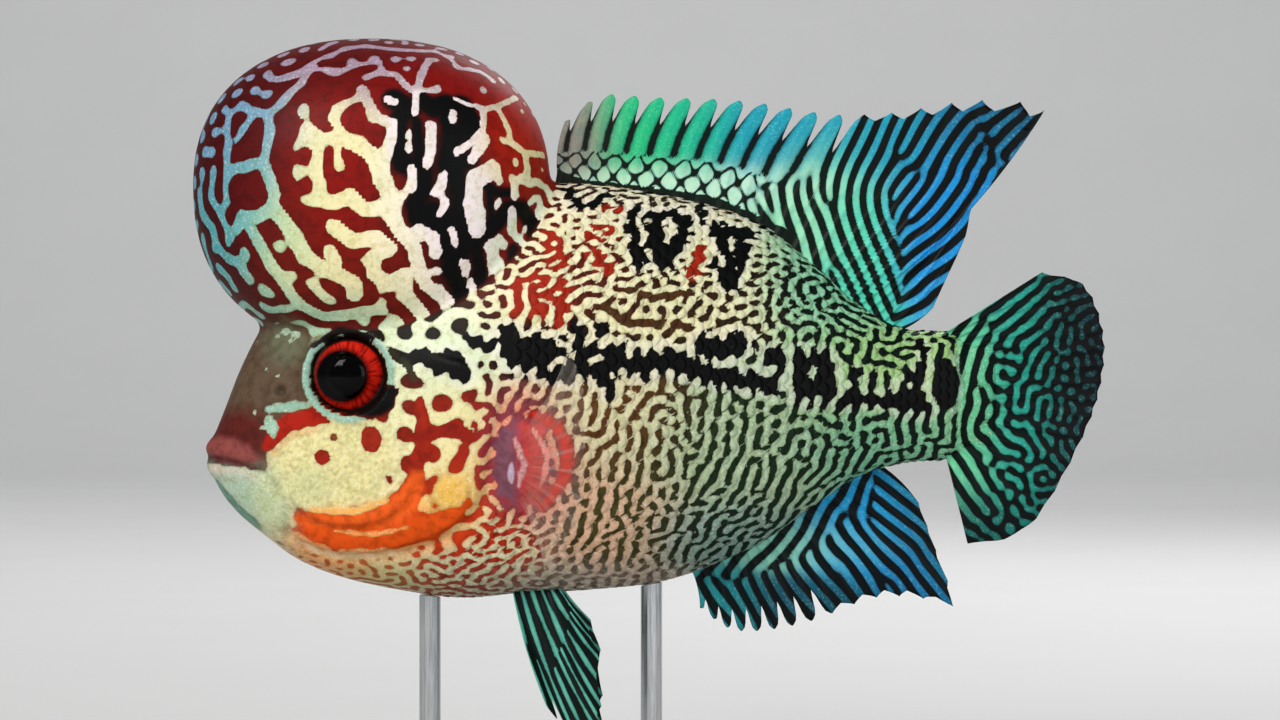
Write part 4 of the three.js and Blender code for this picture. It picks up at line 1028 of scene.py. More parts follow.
def mark_snout(brush):
    brush.spot(-39.6, 64.2, 8.8, 6.6, "#5c4a38", 1, 0.55)
    brush.spot(-42.6, 57.6, 5.6, 3.6, "#5a1e18", 1, 0.5)
    brush.spot(-36.0, 70.4, 3.2, 3.0, "#66654e", 1, 0.6)
    for x, z, half in FLECKS:
        brush.spot(x, z, half * 1.4, half, "#a8bca4", -1)


def mark_mouth(brush):
    """Lips with pale flesh between them, over the lower jaw."""
    brush.line([(-47.4, 56.0), (-44.0, 55.7), (-40.5, 54.7)], 1.5, "#8a4540", 1, 0.5)
    brush.line([(-47.2, 54.5), (-43.5, 53.9), (-40.0, 53.0)], 0.4, "#5a2a2a", 1, 0.25)
    brush.line([(-46.6, 53.0), (-43.0, 52.4), (-40.0, 51.7)], 0.8, "#c8b8ae", -1, 0.5)
    brush.spot(-42.6, 48.0, 4.6, 4.2, "#b0c6ae", -1, 0.5)
    brush.line([(-46.0, 51.0), (-43.5, 47.6), (-39.6, 44.8)], 0.7, "#6f9a86", 1, 0.5)
    brush.spot(-37.4, 48.2, 3.0, 4.2, "#c6cfa6", -1, 0.6)


print("flecks of the snout:", len(FLECKS))

# %% [markdown]
# The cheek is cream with a few rusty spots, a red stripe from the mouth to the eye and a fine mottle.
# Behind it lie the rusty edge of the cheek bone and the orange gill cover, which is the brightest patch
# of the head.


# %% Cheek and gill cover
# x, z, reach in x, reach in z
CHEEK_PATCH = (-28.6, 54.4, 8.0, 6.6)


def mark_cheek(brush):
    brush.spot(*CHEEK_PATCH, "#ebdfa2", -1, 0.3)
    brush.spot(-33.0, 50.4, 3.4, 2.6, "#d8d59e", -1, 0.6)
    brush.line([(-38.4, 56.2), (-35.6, 59.2), (-31.6, 60.4), (-27.4, 61.2)], 1.35, "#a81c0a", 1)
    brush.line([(-37.6, 55.0), (-35.0, 57.6), (-31.0, 58.6)], 0.5, "#e8c48c", -1, 0.4)
    brush.line([(-38.2, 60.0), (-37.4, 57.8)], 1.0, "#9cc0ac", -1)
    brush.line([(-38.6, 61.2), (-35.4, 61.6), (-32.6, 61.8)], 0.7, "#92b8a6", -1)
    brush.spot(-23.8, 57.2, 1.35, 1.9, "#9a2410", 1)
    brush.spot(-30.6, 54.8, 1.1, 0.95, "#96200e", 1)
    brush.spot(-29.0, 57.4, 0.5, 0.4, "#7c4a2a", 1)
    x, z = brush.x, brush.z
    mottle = np.sin(x * 3.7 + 1.3 * np.sin(z * 2.9)) * np.sin(z * 4.1 + 1.7 * np.sin(x * 2.3))
    bare = (oval(x, z, -28.6, 53.6, 10.5, 8.6) < 1) & (brush.maze < -0.4)
    brush.maze = np.where(bare, -0.52 + 0.34 * mottle, brush.maze)


def mark_gill_cover(brush):
    """The rusty edge of the cheek bone, then the orange cover and its pale lower edge."""
    brush.line([(-17.0, 62.6), (-16.6, 58.0), (-17.4, 53.6), (-18.2, 50.6)], 1.0, "#a02410", 1)
    brush.line([(-18.0, 57.4), (-12.5, 58.6), (-9.6, 57.2)], 0.9, "#8e1c0e", 1)
    brush.line([(-33.6, 46.2), (-28.0, 45.2), (-22.6, 46.0), (-19.0, 48.6), (-17.4, 52.0)], 1.9,
               "#f0601c", 1, 0.6)
    brush.line([(-33.0, 44.4), (-28.6, 43.4), (-21.0, 43.8), (-14.4, 45.8), (-10.6, 48.6)], 1.5,
               "#e2520e", 1, 0.6)
    brush.line([(-32.0, 47.4), (-26.0, 47.2), (-21.6, 48.8)], 0.5, "#f6b45c", -1, 0.5)
    brush.line([(-29.0, 44.6), (-24.0, 44.0), (-19.0, 45.0)], 0.4, "#fa9a50", -1, 0.4)
    brush.line([(-34.4, 43.0), (-31.6, 41.6), (-28.7, 40.9), (-24.4, 40.9), (-20.0, 41.5)], 0.42,
               "#ffd9a8", -1, 0.35)
    brush.spot(-13.0, 50.0, 2.6, 2.2, "#f0bc58", -1, 0.6)


on_cheek = oval(skin_points[:, 0], skin_points[:, 2], *CHEEK_PATCH) < 1
print("points of the skin on the cheeks:", int(on_cheek.sum()))

# %% [markdown]
# A pale ring sets off the eye, with painted shade in the gap round the eyeball, a black mark behind it
# and a dark line above. The root of the pectoral fin is bare flesh, red behind and lilac in front, with
# painted highlights on its folds and a painted lilac glint. Last comes the eye spot at the root of the
# tail, with its pale rim.


# %% Surround of the eye, root of the pectoral fin and eye spot
def mark_eye(brush):
    ring = np.hypot(brush.x - EYE["x"], brush.z - EYE["z"])
    brush.lay(ease(0.7, 0.35, np.abs(ring - 5.95)) * brush.face, "#8fb8a8", -1)
    # painted shade: the sunken skin in the gap round the eyeball is made nearly black
    brush.lay(ease(5.5, 5.35, ring) * brush.face, "#140806", 1)
    brush.line([(-32.0, 70.0), (-28.0, 72.1), (-23.6, 71.0)], 0.55, "#0c0a08", 1)
    brush.line([(-25.2, 61.0), (-22.6, 62.4), (-20.9, 63.6)], 1.9, "#050404", 1)
    brush.line([(-21.6, 69.6), (-18.8, 67.2), (-17.6, 65.4)], 0.42, "#31301c", 1)


def mark_fin_root(brush):
    bare = ease(1.05, 0.85, oval(brush.x, brush.z, -3.2, 53.8, 4.0, 6.8) + brush.wobble * 0.3) * brush.face
    brush.lay(bare * ease(-5.5, -2.0, brush.x), "#cc3c38", 1)
    brush.lay(bare * ease(-2.6, -5.0, brush.x), "#7e4c5c", 1)
    brush.line([(-2.0, 60.8), (1.6, 59.2), (3.2, 55.6), (2.4, 51.6), (-0.4, 47.6)], 0.9, "#cf2c1a", 1, 0.6)
    # painted highlights: this pale line and the last one lie on the ridges of the folds
    brush.line([(-4.2, 57.4), (-2.8, 54.0), (-3.6, 50.8)], 0.5, "#d8a0a8", -1, 0.4)
    # painted highlight: a lilac glint on the front of the root
    brush.spot(-4.6, 52.6, 0.5, 1.7, "#b4aecb", -1, 0.5)
    brush.line([(-1.6, 58.8), (0.3, 55.0), (-0.6, 50.6)], 0.45, "#f49088", -1, 0.4)


def mark_eye_spot(brush):
    gap = oval(brush.x, brush.z, *EYE_SPOT)
    rim = 0.6 * ease(1.6, 1.35, gap) * ease(1.0, 1.2, gap) * ease(0.2, 1.2, brush.x - EYE_SPOT[0])
    brush.lay(rim, "#86a49c", -1)
    brush.lay(ease(1.15, 0.95, gap), "#000000", 1)


MARKS = (mark_snout, mark_mouth, mark_cheek, mark_gill_cover, mark_eye, mark_fin_root, mark_eye_spot)


def paint(piece, rest_points):
    """Stores the coat on a piece as one number and two colours a point, and gives its share of dark."""
    brush = Brush(rest_points)
    for mark in MARKS:
        mark(brush)
    store(piece, "FLOAT", maze=brush.maze)
    store(piece, "FLOAT_COLOR", pale=opaque(brush.pale), deep=opaque(brush.deep))
    return float((brush.maze > 0).mean())


print("dark share of the skin:", round(paint(skin, skin_points), 2))

# %% [markdown]
# Node trees are easier to read as sums than as webs. One small class wraps a socket, so that an
# expression such as `1 - mask * 0.3` adds its own Math nodes. Another adds every other kind of node
# through one method.


# %% A small language for nodes
class Wire:
    """One socket of a node tree, with the operators of numbers."""

    def __init__(self, shop, socket):
        self.shop, self.socket = shop, socket

    def _math(self, operation, *values):
        return self.shop.node("ShaderNodeMath", {"operation": operation}, dict(enumerate(values)))

    def __add__(self, other):
        return self._math("ADD", self, other)

    def __radd__(self, other):
        return self._math("ADD", other, self)

    def __sub__(self, other):
        return self._math("SUBTRACT", self, other)

    def __rsub__(self, other):
        return self._math("SUBTRACT", other, self)

    def __mul__(self, other):
        return self._math("MULTIPLY", self, other)

    def __rmul__(self, other):
        return self._math("MULTIPLY", other, self)

    def __abs__(self):
        return self._math("ABSOLUTE", self)

    def sine(self):
        return self._math("SINE", self)

    def fraction(self):
        return self._math("FRACT", self)

    def step(self, low, high, to_low=0.0, to_high=1.0):
        """A smooth step from to_low to to_high as the value goes from low to high."""
        inputs = {"Value": self, "From Min": low, "From Max": high, "To Min": to_low, "To Max": to_high}
        return self.shop.node("ShaderNodeMapRange", {"interpolation_type": "SMOOTHSTEP"}, inputs)


class Builder:
    """Adds nodes to a tree."""

    def __init__(self, tree):
        self.tree = tree

    def node(self, kind, settings=None, inputs=None, output=0):
        """A node with its settings, and the values or links of its sockets. Gives one of its outputs."""
        made = self.tree.nodes.new(kind)
        for key, value in (settings or {}).items():
            setattr(made, key, value)
        for key, value in (inputs or {}).items():
            if isinstance(value, Wire):
                self.tree.links.new(value.socket, made.inputs[key])
            else:
                made.inputs[key].default_value = value
        return Wire(self, made.outputs[output]) if made.outputs else None


class Shop(Builder):
    """Builds one material."""

    def __init__(self, name):
        self.material = bpy.data.materials.new(name)
        self.material.use_nodes = True
        super().__init__(self.material.node_tree)
        self.tree.nodes.clear()

    def attribute(self, name, output="Fac"):
        return self.node("ShaderNodeAttribute", {"attribute_name": name}, output=output)

    def place(self, scale=(1, 1, 1)):
        where = self.node("ShaderNodeTexCoord", output="Object")
        return self.node("ShaderNodeMapping", {}, {"Vector": where, "Scale": scale})

    def noise(self, size_mm, detail=3.0, roughness=0.55, stretch=(1, 1, 1)):
        """Clouds whose lumps are about size_mm across, from about 0.3 to 0.7."""
        inputs = {"Vector": self.place(stretch), "Scale": 1 / (size_mm * MM)}
        return self.node("ShaderNodeTexNoise", {}, {**inputs, "Detail": detail, "Roughness": roughness})

    def mix(self, share, first, second, blend="MIX"):
        """The first colour where share is 0, and the second where it is 1."""
        colours = [value if isinstance(value, Wire) else (*value, 1) for value in (first, second)]
        settings = {"data_type": "RGBA", "blend_type": blend, "clamp_factor": True}
        return self.node("ShaderNodeMix", settings, {0: share, 6: colours[0], 7: colours[1]}, 2)

    def tint(self, share, colour, film):
        """The colour as it looks through a film of another, where share is 1."""
        return self.mix(share, colour, self.mix(1.0, colour, film, "MULTIPLY"))

    def bump(self, height, depth_mm, strength):
        inputs = {"Height": height, "Distance": depth_mm * MM, "Strength": strength}
        return self.node("ShaderNodeBump", {}, inputs)

    def finish(self, **sockets):
        """Joins the named sockets to a surface, and gives the material."""
        inputs = {key.replace("_", " "): value for key, value in sockets.items()}
        surface = self.node("ShaderNodeBsdfPrincipled", {}, inputs)
        self.node("ShaderNodeOutputMaterial", {}, {"Surface": surface})
        return self.material


print("helpers for nodes:", Wire.__name__, Builder.__name__, Shop.__name__)

# %% [markdown]
# The skin is wet, and a thin clear film over the pigment gives it soft lights. The coat reads the maze as
# one number a point and cuts it at zero inside the shader, so its edges stay crisp between the points of
# the mesh. Noise of several sizes breaks up each colour, as cells of pigment do. The finest noise also
# paints tiny glints on the pale colour, and painted shade darkens each pale stripe towards its edges.


# %% Skin and scale material
def coat_material(name, grain, film):
    """Wet skin. Grain is the size of its fine lumps in mm, and film how much clear film lies on it."""
    shop = Shop(name)
    maze = shop.attribute("maze")
    ragged = (shop.noise(0.5, 2) - 0.5) * 0.5 + (shop.noise(1.6, 2) - 0.5) * 0.35
    dark = (maze + ragged).step(-0.17, 0.17)
    pale, deep = shop.attribute("pale", "Color"), shop.attribute("deep", "Color")
    cloud, skin_grain = shop.noise(2.6, 3), shop.noise(grain, 2)
    pale = shop.tint(cloud.step(0.35, 0.7, 0, 0.32), pale, (0.62, 0.74, 0.6))
    pale = shop.tint(shop.noise(0.8, 2).step(0.48, 0.66, 0, 0.5), pale, (0.72, 0.66, 0.44))
    # painted glints: tiny near-white specks over the pale colour
    pale = shop.mix(shop.noise(0.32, 1).step(0.55, 0.72, 0, 0.3), pale, (1.0, 0.97, 0.88))
    # painted shade: the pale colour darkens towards the edges of each pale stripe, so that it looks rounded
    pale = shop.tint(maze.step(-0.75, -0.05, 0, 0.55), pale, (0.5, 0.46, 0.4))
    deep = shop.tint(shop.noise(1.4, 3).step(0.4, 0.68, 0, 0.45), deep, (0.35, 0.3, 0.3))
    height = dark * -0.4 + skin_grain * 0.6 + cloud * 0.5
    return shop.finish(Base_Color=shop.mix(dark, pale, deep), Normal=shop.bump(height, 0.12, 0.6),
                       Roughness=dark * 0.14 + 0.42 + (skin_grain - 0.5) * 0.15, Specular_IOR_Level=0.1,
                       Coat_Weight=(1 - dark * 0.8) * film, Coat_Roughness=0.2,
                       Subsurface_Weight=0.05, Subsurface_Scale=0.001)


scale_material = coat_material("wet_scale", 0.6, 0.06)
skin.data.materials.clear()
skin.data.materials.append(coat_material("wet_skin", 0.35, 0.1))
put_points(skin, bend_tail(skin_points))
shade_smooth(skin)
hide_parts("nuchal_hump", "head", "lower_jaw", "gill_cover_left", "gill_cover_right", "trunk",
            "tail_stalk")
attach(skin, "root")
print("skin replaces the flesh, in", len(skin.data.polygons), "faces")

# %% [markdown]
# Scales are stiff plates that overlap like roof tiles, each with its front end in the skin and its round
# rear edge free. There are over two thousand, all alike but for size. So one plate is modelled, and
# Geometry Nodes sets a copy on every root point, turned to the skin there. The root points lie in rings
# round the body, and every second ring is moved by half a scale.

# %% Root points of the scales
SCALE_PITCH = 2.35
# where the scales begin behind the head, as seen from the side
HEAD_REAR = [(-24.0, 30.0), (-14.0, 40.5), (-10.4, 44.6), (-7.4, 48.6), (-6.2, 52.0), (-6.4, 57.0),
             (-5.2, 62.4), (-5.4, 68.0), (-5.6, 72.0), (-2.0, 78.0), (0.8, 86.0), (1.6, 100.0)]
# x, z, reach in x, reach in z of the bare root of the pectoral fin
BARE_ROOT = (-2.6, 53.6, 4.4, 7.2)
skin_tree = BVHTree.FromPolygons(skin_points.tolist(), [tuple(face.vertices) for face in skin.data.polygons])


def ring_of_body(x):
    """The outline of the body at x, and how far round it each of its points lies."""
    turn = np.linspace(0, 2 * np.pi, 721)
    top, bottom, half, middle, back, belly = body_at(x)
    up, out = np.sin(turn), np.cos(turn)
    y = half * np.sign(out) * np.abs(out) ** np.where(up > 0, back, belly)
    z = middle + np.where(up > 0, top - middle, middle - bottom) * up
    return y, z, np.concatenate([[0], np.cumsum(np.hypot(np.diff(y), np.diff(z)))])


roots, ups, sizes = [], [], []
for column, x in enumerate(np.arange(-18.0, 57.5, SCALE_PITCH * 0.5)):
    ring_y, ring_z, length = ring_of_body(x)
    belly_line = body_at(x)[1] + 4
    small = 1 - 0.3 * ease(38, 56, x)
    count = 2 * int(round(length[-1] / (2 * SCALE_PITCH * 1.02 * small)))
    marks = (np.arange(count) + 0.5 * (column % 2)) * length[-1] / count
    for y, z in zip(np.interp(marks, length, ring_y), np.interp(marks, length, ring_z)):
        edge = np.interp(z, [p[1] for p in HEAD_REAR], [p[0] for p in HEAD_REAR])
        if x < edge or oval(x, z, *BARE_ROOT) < 1 and abs(y) > 6:
            continue
        spot, normal, _, _ = skin_tree.find_nearest(Vector((x, float(y), float(z))))
        roots.append(spot)
        ups.append(normal)
        free = (1.0 if z > belly_line else 0.85) * ease(-2.5, 1.5, x - edge)
        sizes.append(small * free * 0.35 + 0.65 * small)
print("scales:", len(roots))

# %% [markdown]
# A plate is a small grid, widest near its free end, which is rounded and turned down at the rim. It is a
# little over 1 unit across, and the tree gives it its size. With a few dozen faces it stays cheap, however
# often it repeats.

# %% One scale
LONG, WIDE = 5, 6
ROW = WIDE + 1
RIM_DEPTH = 0.035


def plate_point(u, v):
    """A point of the plate: u goes from the root to the free end, and v from edge to edge."""
    back_edge = 1.0 - 0.34 * abs(v) ** 2.4 * u ** 0.8
    wide = 0.62 + 0.42 * math.sin(min(1.0, u * 1.15) * math.pi * 0.62)
    rounded = 1.0 if u < 0.8 else 1.0 - 0.12 * ((u - 0.8) / 0.2) ** 2
    x = -0.62 + 1.38 * u * back_edge
    y = v * wide * 0.6 * rounded
    z = -0.10 + 0.155 * u - 0.05 * v * v - 0.03 * u ** 6
    return x, y, z


plate_points = [plate_point(i / LONG, j / WIDE * 2 - 1) for i in range(LONG + 1) for j in range(ROW)]
plate_points += [(x, y, z - RIM_DEPTH) for x, y, z in plate_points[-ROW:]]
corners = [i * ROW + j for i in range(LONG + 1) for j in range(WIDE)]
plate_faces = [(a, a + ROW, a + ROW + 1, a + 1) for a in corners]
scale_plate = new_piece("scale_plate", plate_points, plate_faces)
scale_plate.hide_render = True
print("faces of a plate:", len(plate_faces))

# %% [markdown]
# The tree turns each plate twice: first upright on the skin, then round until its free end points to the
# tail. A little chance in its size keeps the rows from looking stamped. Realize Instances then turns the
# copies into plain mesh, because the export reads nothing else.

# %% Set out the scales
scales = new_piece("scales", np.array(roots), [])
store(scales, "FLOAT_VECTOR", facing=ups)
store(scales, "FLOAT", size=sizes)


def scale_tree():
    """Sets a plate on every point, turned to the skin and to the tail."""
    tree = bpy.data.node_groups.new("set_out_scales", "GeometryNodeTree")
    for name, kind in (("Geometry", "Geometry"), ("Plate", "Object"), ("Plate Size", "Float"),
                       ("Unevenness", "Float"), ("Material", "Material")):
        tree.interface.new_socket(name, in_out="INPUT", socket_type=f"NodeSocket{kind}")
    tree.interface.new_socket("Geometry", in_out="OUTPUT", socket_type="NodeSocketGeometry")
    build = Builder(tree)

    def given(name):
        return build.node("NodeGroupInput", output=name)

    def stored(name, kind):
        settings = {"data_type": kind}
        return build.node("GeometryNodeInputNamedAttribute", settings, {"Name": name}, "Attribute")

    plate = build.node("GeometryNodeObjectInfo", {}, {"Object": given("Plate")}, "Geometry")
    upright = build.node("FunctionNodeAlignRotationToVector", {"axis": "Z"},
                         {"Vector": stored("facing", "FLOAT_VECTOR")})
    turned = build.node("FunctionNodeAlignRotationToVector", {"axis": "X", "pivot_axis": "Z"},
                        {"Rotation": upright, "Vector": (1, 0, 0)})
    chance = build.node("FunctionNodeRandomValue", {}, {"Seed": 7}, 1)
    size = (given("Unevenness") * chance + 1.0) * stored("size", "FLOAT") * given("Plate Size")
    plates = build.node("GeometryNodeInstanceOnPoints", {},
                        {"Points": given("Geometry"), "Instance": plate, "Rotation": turned, "Scale": size})
    mesh = build.node("GeometryNodeRealizeInstances", {}, {"Geometry": plates})
    dressed = build.node("GeometryNodeSetMaterial", {}, {"Geometry": mesh, "Material": given("Material")})
    build.node("NodeGroupOutput", {}, {"Geometry": dressed})
    return tree


def run_tree(piece, tree, values):
    """Runs a Geometry Nodes tree on a piece and keeps the result as plain mesh."""
    modifier = piece.modifiers.new(tree.name, "NODES")
    modifier.node_group = tree
    for item in tree.interface.items_tree:
        if item.item_type == "SOCKET" and item.in_out == "INPUT" and item.name in values:
            modifier[item.identifier] = values[item.name]
    return applied(piece)


run_tree(scales, scale_tree(), {"Plate": scale_plate, "Plate Size": SCALE_PITCH * 1.12, "Unevenness": 0.06,
                                "Material": scale_material})
bpy.data.objects.remove(scale_plate)
scale_points = points_of(scales)
print("scale faces:", len(scales.data.polygons), "dark share:", round(paint(scales, scale_points), 2))
put_points(scales, bend_tail(scale_points))
shade_smooth(scales)
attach(scales, "root")

# %% [markdown]
# A fin is one thin web of skin over a fan of rays. It is drawn as a sheet whose columns follow the rays,
# thick on a ray and thin between two. The front rays of the back and belly fins are hard spines, and each
# carries a pointed flag of web, so the edge there is a row of teeth.


# %% Fins as sheets
SPINE_NOTCH = 0.76


def fin_sheet(name, material, rays, spines, soft_notch, rows, per_ray, sink, ray_half, web_half):
    """A fin from rays(index), which gives roots, tips, bows and face normals.

    The half thicknesses of ray and web are in mm, at the root and at the tip, and sink is how deep the root
    lies in the body. Gives the piece, and the place, ray number and height of each of its points.
    """
    last = rays(np.array([0.0]))["last"]
    index = np.linspace(0, last, last * per_ray + 1)
    ray = rays(index)
    spiny = index < spines
    gap = index - np.floor(index)
    gap_near = np.minimum(gap, 1 - gap)
    notch = np.where(spiny, SPINE_NOTCH, soft_notch)
    dip = np.where(spiny, 1 - ease(0.0, 0.24, np.abs(gap - 0.5)), (2 * gap_near) ** 0.8)
    reach = 1 - (1 - notch) * dip - np.where(spiny, 0.06 * ease(0.0, 0.34, gap_near), 0)
    ridge = bell(gap_near, 0, 0.17)
    deep = sink / np.linalg.norm(ray["tip"] - ray["root"], axis=1)
    points, heights = [], []
    for side in (1, -1):
        for row in range(rows + 1):
            height = -deep + (reach + deep) * row / rows
            rise = np.clip(height, 0, 1)
            half = web_half[0] + (web_half[1] - web_half[0]) * rise ** 0.5
            half = half + ridge * (ray_half[0] + (ray_half[1] - ray_half[0]) * rise ** 0.8 - half)
            half = half * (1 - 0.55 * ease(rows - 2.5, rows + 0.5, row))
            point = ray["root"] + (ray["tip"] - ray["root"]) * height[:, None]
            point = point + ray["bow"] * (4 * rise * (1 - rise))[:, None]
            points.append(point + ray["normal"] * (side * half + ray["wave"] * rise ** 1.5)[:, None])
            heights.append(height)
    points = np.vstack(points)
    n = len(index)

    def at(side, row, k):
        return (side * (rows + 1) + row) * n + k

    faces = []
    for row in range(rows):
        for k in range(n - 1):
            faces.append((at(0, row, k), at(0, row, k + 1), at(0, row + 1, k + 1), at(0, row + 1, k)))
            faces.append((at(1, row, k), at(1, row + 1, k), at(1, row + 1, k + 1), at(1, row, k + 1)))
    for k in range(n - 1):
        faces.append((at(0, rows, k), at(0, rows, k + 1), at(1, rows, k + 1), at(1, rows, k)))
        faces.append((at(0, 0, k), at(1, 0, k), at(1, 0, k + 1), at(0, 0, k + 1)))
    for k in (0, n - 1):
        for row in range(rows):
            faces.append((at(0, row, k), at(0, row + 1, k), at(1, row + 1, k), at(1, row, k)))
    piece = new_piece(name, points, faces, material)
    face_outwards(piece)
    return piece, points, np.tile(index, len(heights)), np.concatenate(heights)


def dress_fin(piece, points, index, height, maze):
    """Stores the stripes, the two colours, the ray number and the height for the shader."""
    pale, deep, _ = zone_mix(FIN_ZONES, points[:, 0], points[:, 2])
    store(piece, "FLOAT", maze=maze, ray=index, height=height)
    store(piece, "FLOAT_COLOR", pale=opaque(pale), deep=opaque(deep))


print("a flag's notch reaches down to", SPINE_NOTCH, "of its spine")

# %% [markdown]
# The fins of the middle plane are drawn from a few rays each, with a smooth curve through their roots and
# tips for the rays between. The web also waves a little from side to side, because a perfectly flat fin
# looks cut out of card.

# %% Rays of the fins in the middle plane
# number of the ray, x and z of its root, x and z of its tip
DORSAL = [(0, 1.3, 94.2, 2.4, 101.4), (1.5, 5.2, 92.6, 7.3, 105.0), (3.6, 10.8, 91.8, 14.3, 104.8),
          (7.2, 22.0, 90.2, 27.6, 104.3), (10.8, 31.8, 86.0, 40.2, 102.5), (13, 37.0, 81.8, 48.3, 102.8),
          (16, 41.6, 77.8, 61.2, 104.7), (18, 44.0, 76.0, 70.0, 103.3), (20, 46.2, 74.3, 61.9, 97.4),
          (22, 48.3, 72.9, 58.8, 85.5), (23, 49.7, 72.2, 54.2, 75.4)]
ANAL = [(0, 20.2, 38.4, 21.3, 33.3), (2, 23.0, 39.2, 25.1, 30.5), (4, 26.2, 40.6, 29.3, 30.0),
        (7, 30.8, 43.3, 37.0, 31.4), (10, 35.7, 46.5, 46.2, 34.6), (12, 38.9, 49.0, 52.8, 34.4),
        (13, 40.6, 50.3, 57.0, 33.3), (15, 43.7, 52.4, 54.6, 41.2), (17, 46.5, 53.4, 52.1, 47.9)]
CAUDAL = [(0, 56.2, 72.0, 69.7, 80.4), (2, 57.0, 71.1, 75.6, 78.8), (5, 58.1, 68.3, 78.5, 72.2),
          (8, 58.5, 64.5, 78.3, 64.8), (11, 58.2, 59.9, 75.6, 57.1), (14, 57.4, 56.3, 68.9, 45.6),
          (15, 56.8, 55.0, 64.4, 42.7), (16, 56.1, 54.2, 59.1, 42.1)]


def flat_rays(keys, bow, wave=0.0):
    """The rays of a fin in the middle plane. Bow pairs ray numbers with how far each ray bends."""
    def rays(index):
        row = through(keys, index)
        root = np.column_stack([row[:, 1], 0 * index, row[:, 2]])
        tip = np.column_stack([row[:, 3], 0 * index, row[:, 4]])
        bend = np.interp(index, *bow)[:, None]
        side = np.column_stack([row[:, 4] - row[:, 2], 0 * index, row[:, 1] - row[:, 3]]) * bend
        return {"root": root, "tip": tip, "bow": side, "normal": np.tile([0.0, 1.0, 0.0], (len(index), 1)),
                "wave": wave * np.sin(index * 0.9), "last": int(keys[-1][0])}
    return rays


print("rays drawn:", len(DORSAL) + len(ANAL) + len(CAUDAL))

# %% [markdown]
# The sheets read their stripes from the chart of the fins. Only the spiny front of the back fin differs:
# each spine carries one bright flag, over pearls in a net of crossing dark lines. That pattern keeps step
# with the spines, so it is a formula of ray number and height instead of a place on the chart.


# %% Back fin, belly fin and tail fin
def flags(index, height):
    """The pattern between two spines: one bright flag, over pearls in a net of crossing dark lines."""
    lean = 0.08 * ease(0.5, 1.0, height) - 0.05
    gap = np.abs((index - lean + 0.5) % 1 - 0.5)
    flag = (gap - 0.35 * ease(0.30, 0.40, height) ** 0.5) / 0.2
    rise = (height + 0.012 * np.sin(index * 9.0)) / 0.25
    net = 4.0 * (0.2 - np.abs(np.cos(np.pi * (index + rise)) * np.cos(np.pi * (index - rise))))
    pearls = np.minimum(net, flag + 2.5 * ease(0.42, 0.34, height))
    return np.clip(np.where(height > 0.36, flag, pearls), -1.2, 1.2)


def fin_material():
    """Striped web, with jointed rays as fine relief."""
    shop = Shop("striped_fin")
    maze, height = shop.attribute("maze"), shop.attribute("height")
    on_ray = abs(shop.attribute("ray").fraction() - 0.5).step(0.38, 0.5)
    dark = (maze + (shop.noise(0.6, 2) - 0.5) * 0.5).step(-0.2, 0.2)
    pale, deep = shop.attribute("pale", "Color"), shop.attribute("deep", "Color")
    pale = shop.tint(shop.noise(1.2, 3).step(0.4, 0.7, 0, 0.5), pale, (0.45, 0.8, 1.0))
    # painted glints: tiny pale specks over the pale stripes
    pale = shop.mix(shop.noise(0.3, 1).step(0.55, 0.7, 0, 0.12), pale, (0.6, 1.0, 0.88))
    # painted shade: the pale colour darkens towards the edges of each pale stripe, so that it looks rounded
    pale = shop.tint(maze.step(-0.85, 0.0, 0, 0.7), pale, (0.3, 0.45, 0.5))
    relief = on_ray * 0.3 + (height * 90.0).sine() * on_ray * 0.12 + shop.noise(0.4, 2) * 0.3
    return shop.finish(Base_Color=shop.mix(dark, pale, deep), Roughness=dark * 0.1 + 0.46,
                       Normal=shop.bump(relief, 0.15, 0.6), Coat_Weight=0.05, Coat_Roughness=0.25,
                       Specular_IOR_Level=0.1)


striped = fin_material()
FLAT_FINS = {
    "dorsal_fin": {
        "rays": flat_rays(DORSAL, ((9, 14), (-0.06, 0.05)), 0.25), "spines": 12, "soft_notch": 0.95,
        "rows": 56, "per_ray": 16, "sink": 2.5, "ray_half": (0.7, 0.22), "web_half": (0.36, 0.16),
    },
    "anal_fin": {
        "rays": flat_rays(ANAL, ((0,), (-0.05,)), 0.2), "spines": 8, "soft_notch": 0.94,
        "rows": 48, "per_ray": 12, "sink": 2.5, "ray_half": (0.65, 0.22), "web_half": (0.36, 0.16),
    },
    "caudal_fin": {
        "rays": flat_rays(CAUDAL, ((0,), (0.0,)), 0.25), "spines": 0, "soft_notch": 0.985,
        "rows": 64, "per_ray": 14, "sink": 3.0, "ray_half": (1.0, 0.22), "web_half": (0.7, 0.16),
    },
}
for node, form in FLAT_FINS.items():
    piece, points, index, height = fin_sheet(f"{node}_skin", striped, **form)
    maze = sample(fin_maze, FIN_EXTENT, points[:, 0], points[:, 2])
    if node == "dorsal_fin":
        spiny = ease(12.2, 10.6, index + 2.0 * ease(0.6, 0.2, height))
        maze = between(maze, flags(index, height), spiny)
        maze = np.where((index < form["spines"]) & (height < 0.05), 1.0, maze)
    dress_fin(piece, points, index, height, maze)
    put_points(piece, bend_tail(points))
    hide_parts(node)
    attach(piece, "root")
    print(piece.name, "faces:", len(piece.data.polygons), "dark share:", round(float((maze > 0).mean()), 2))

# %% [markdown]
# The pelvic fins hang from the belly as a pair and lean outwards. Their stripes simply follow the rays,
# and branch in two where the soft rays do, about half way down.

# %% Pelvic fins
SIDES = {"left": -1, "right": 1}
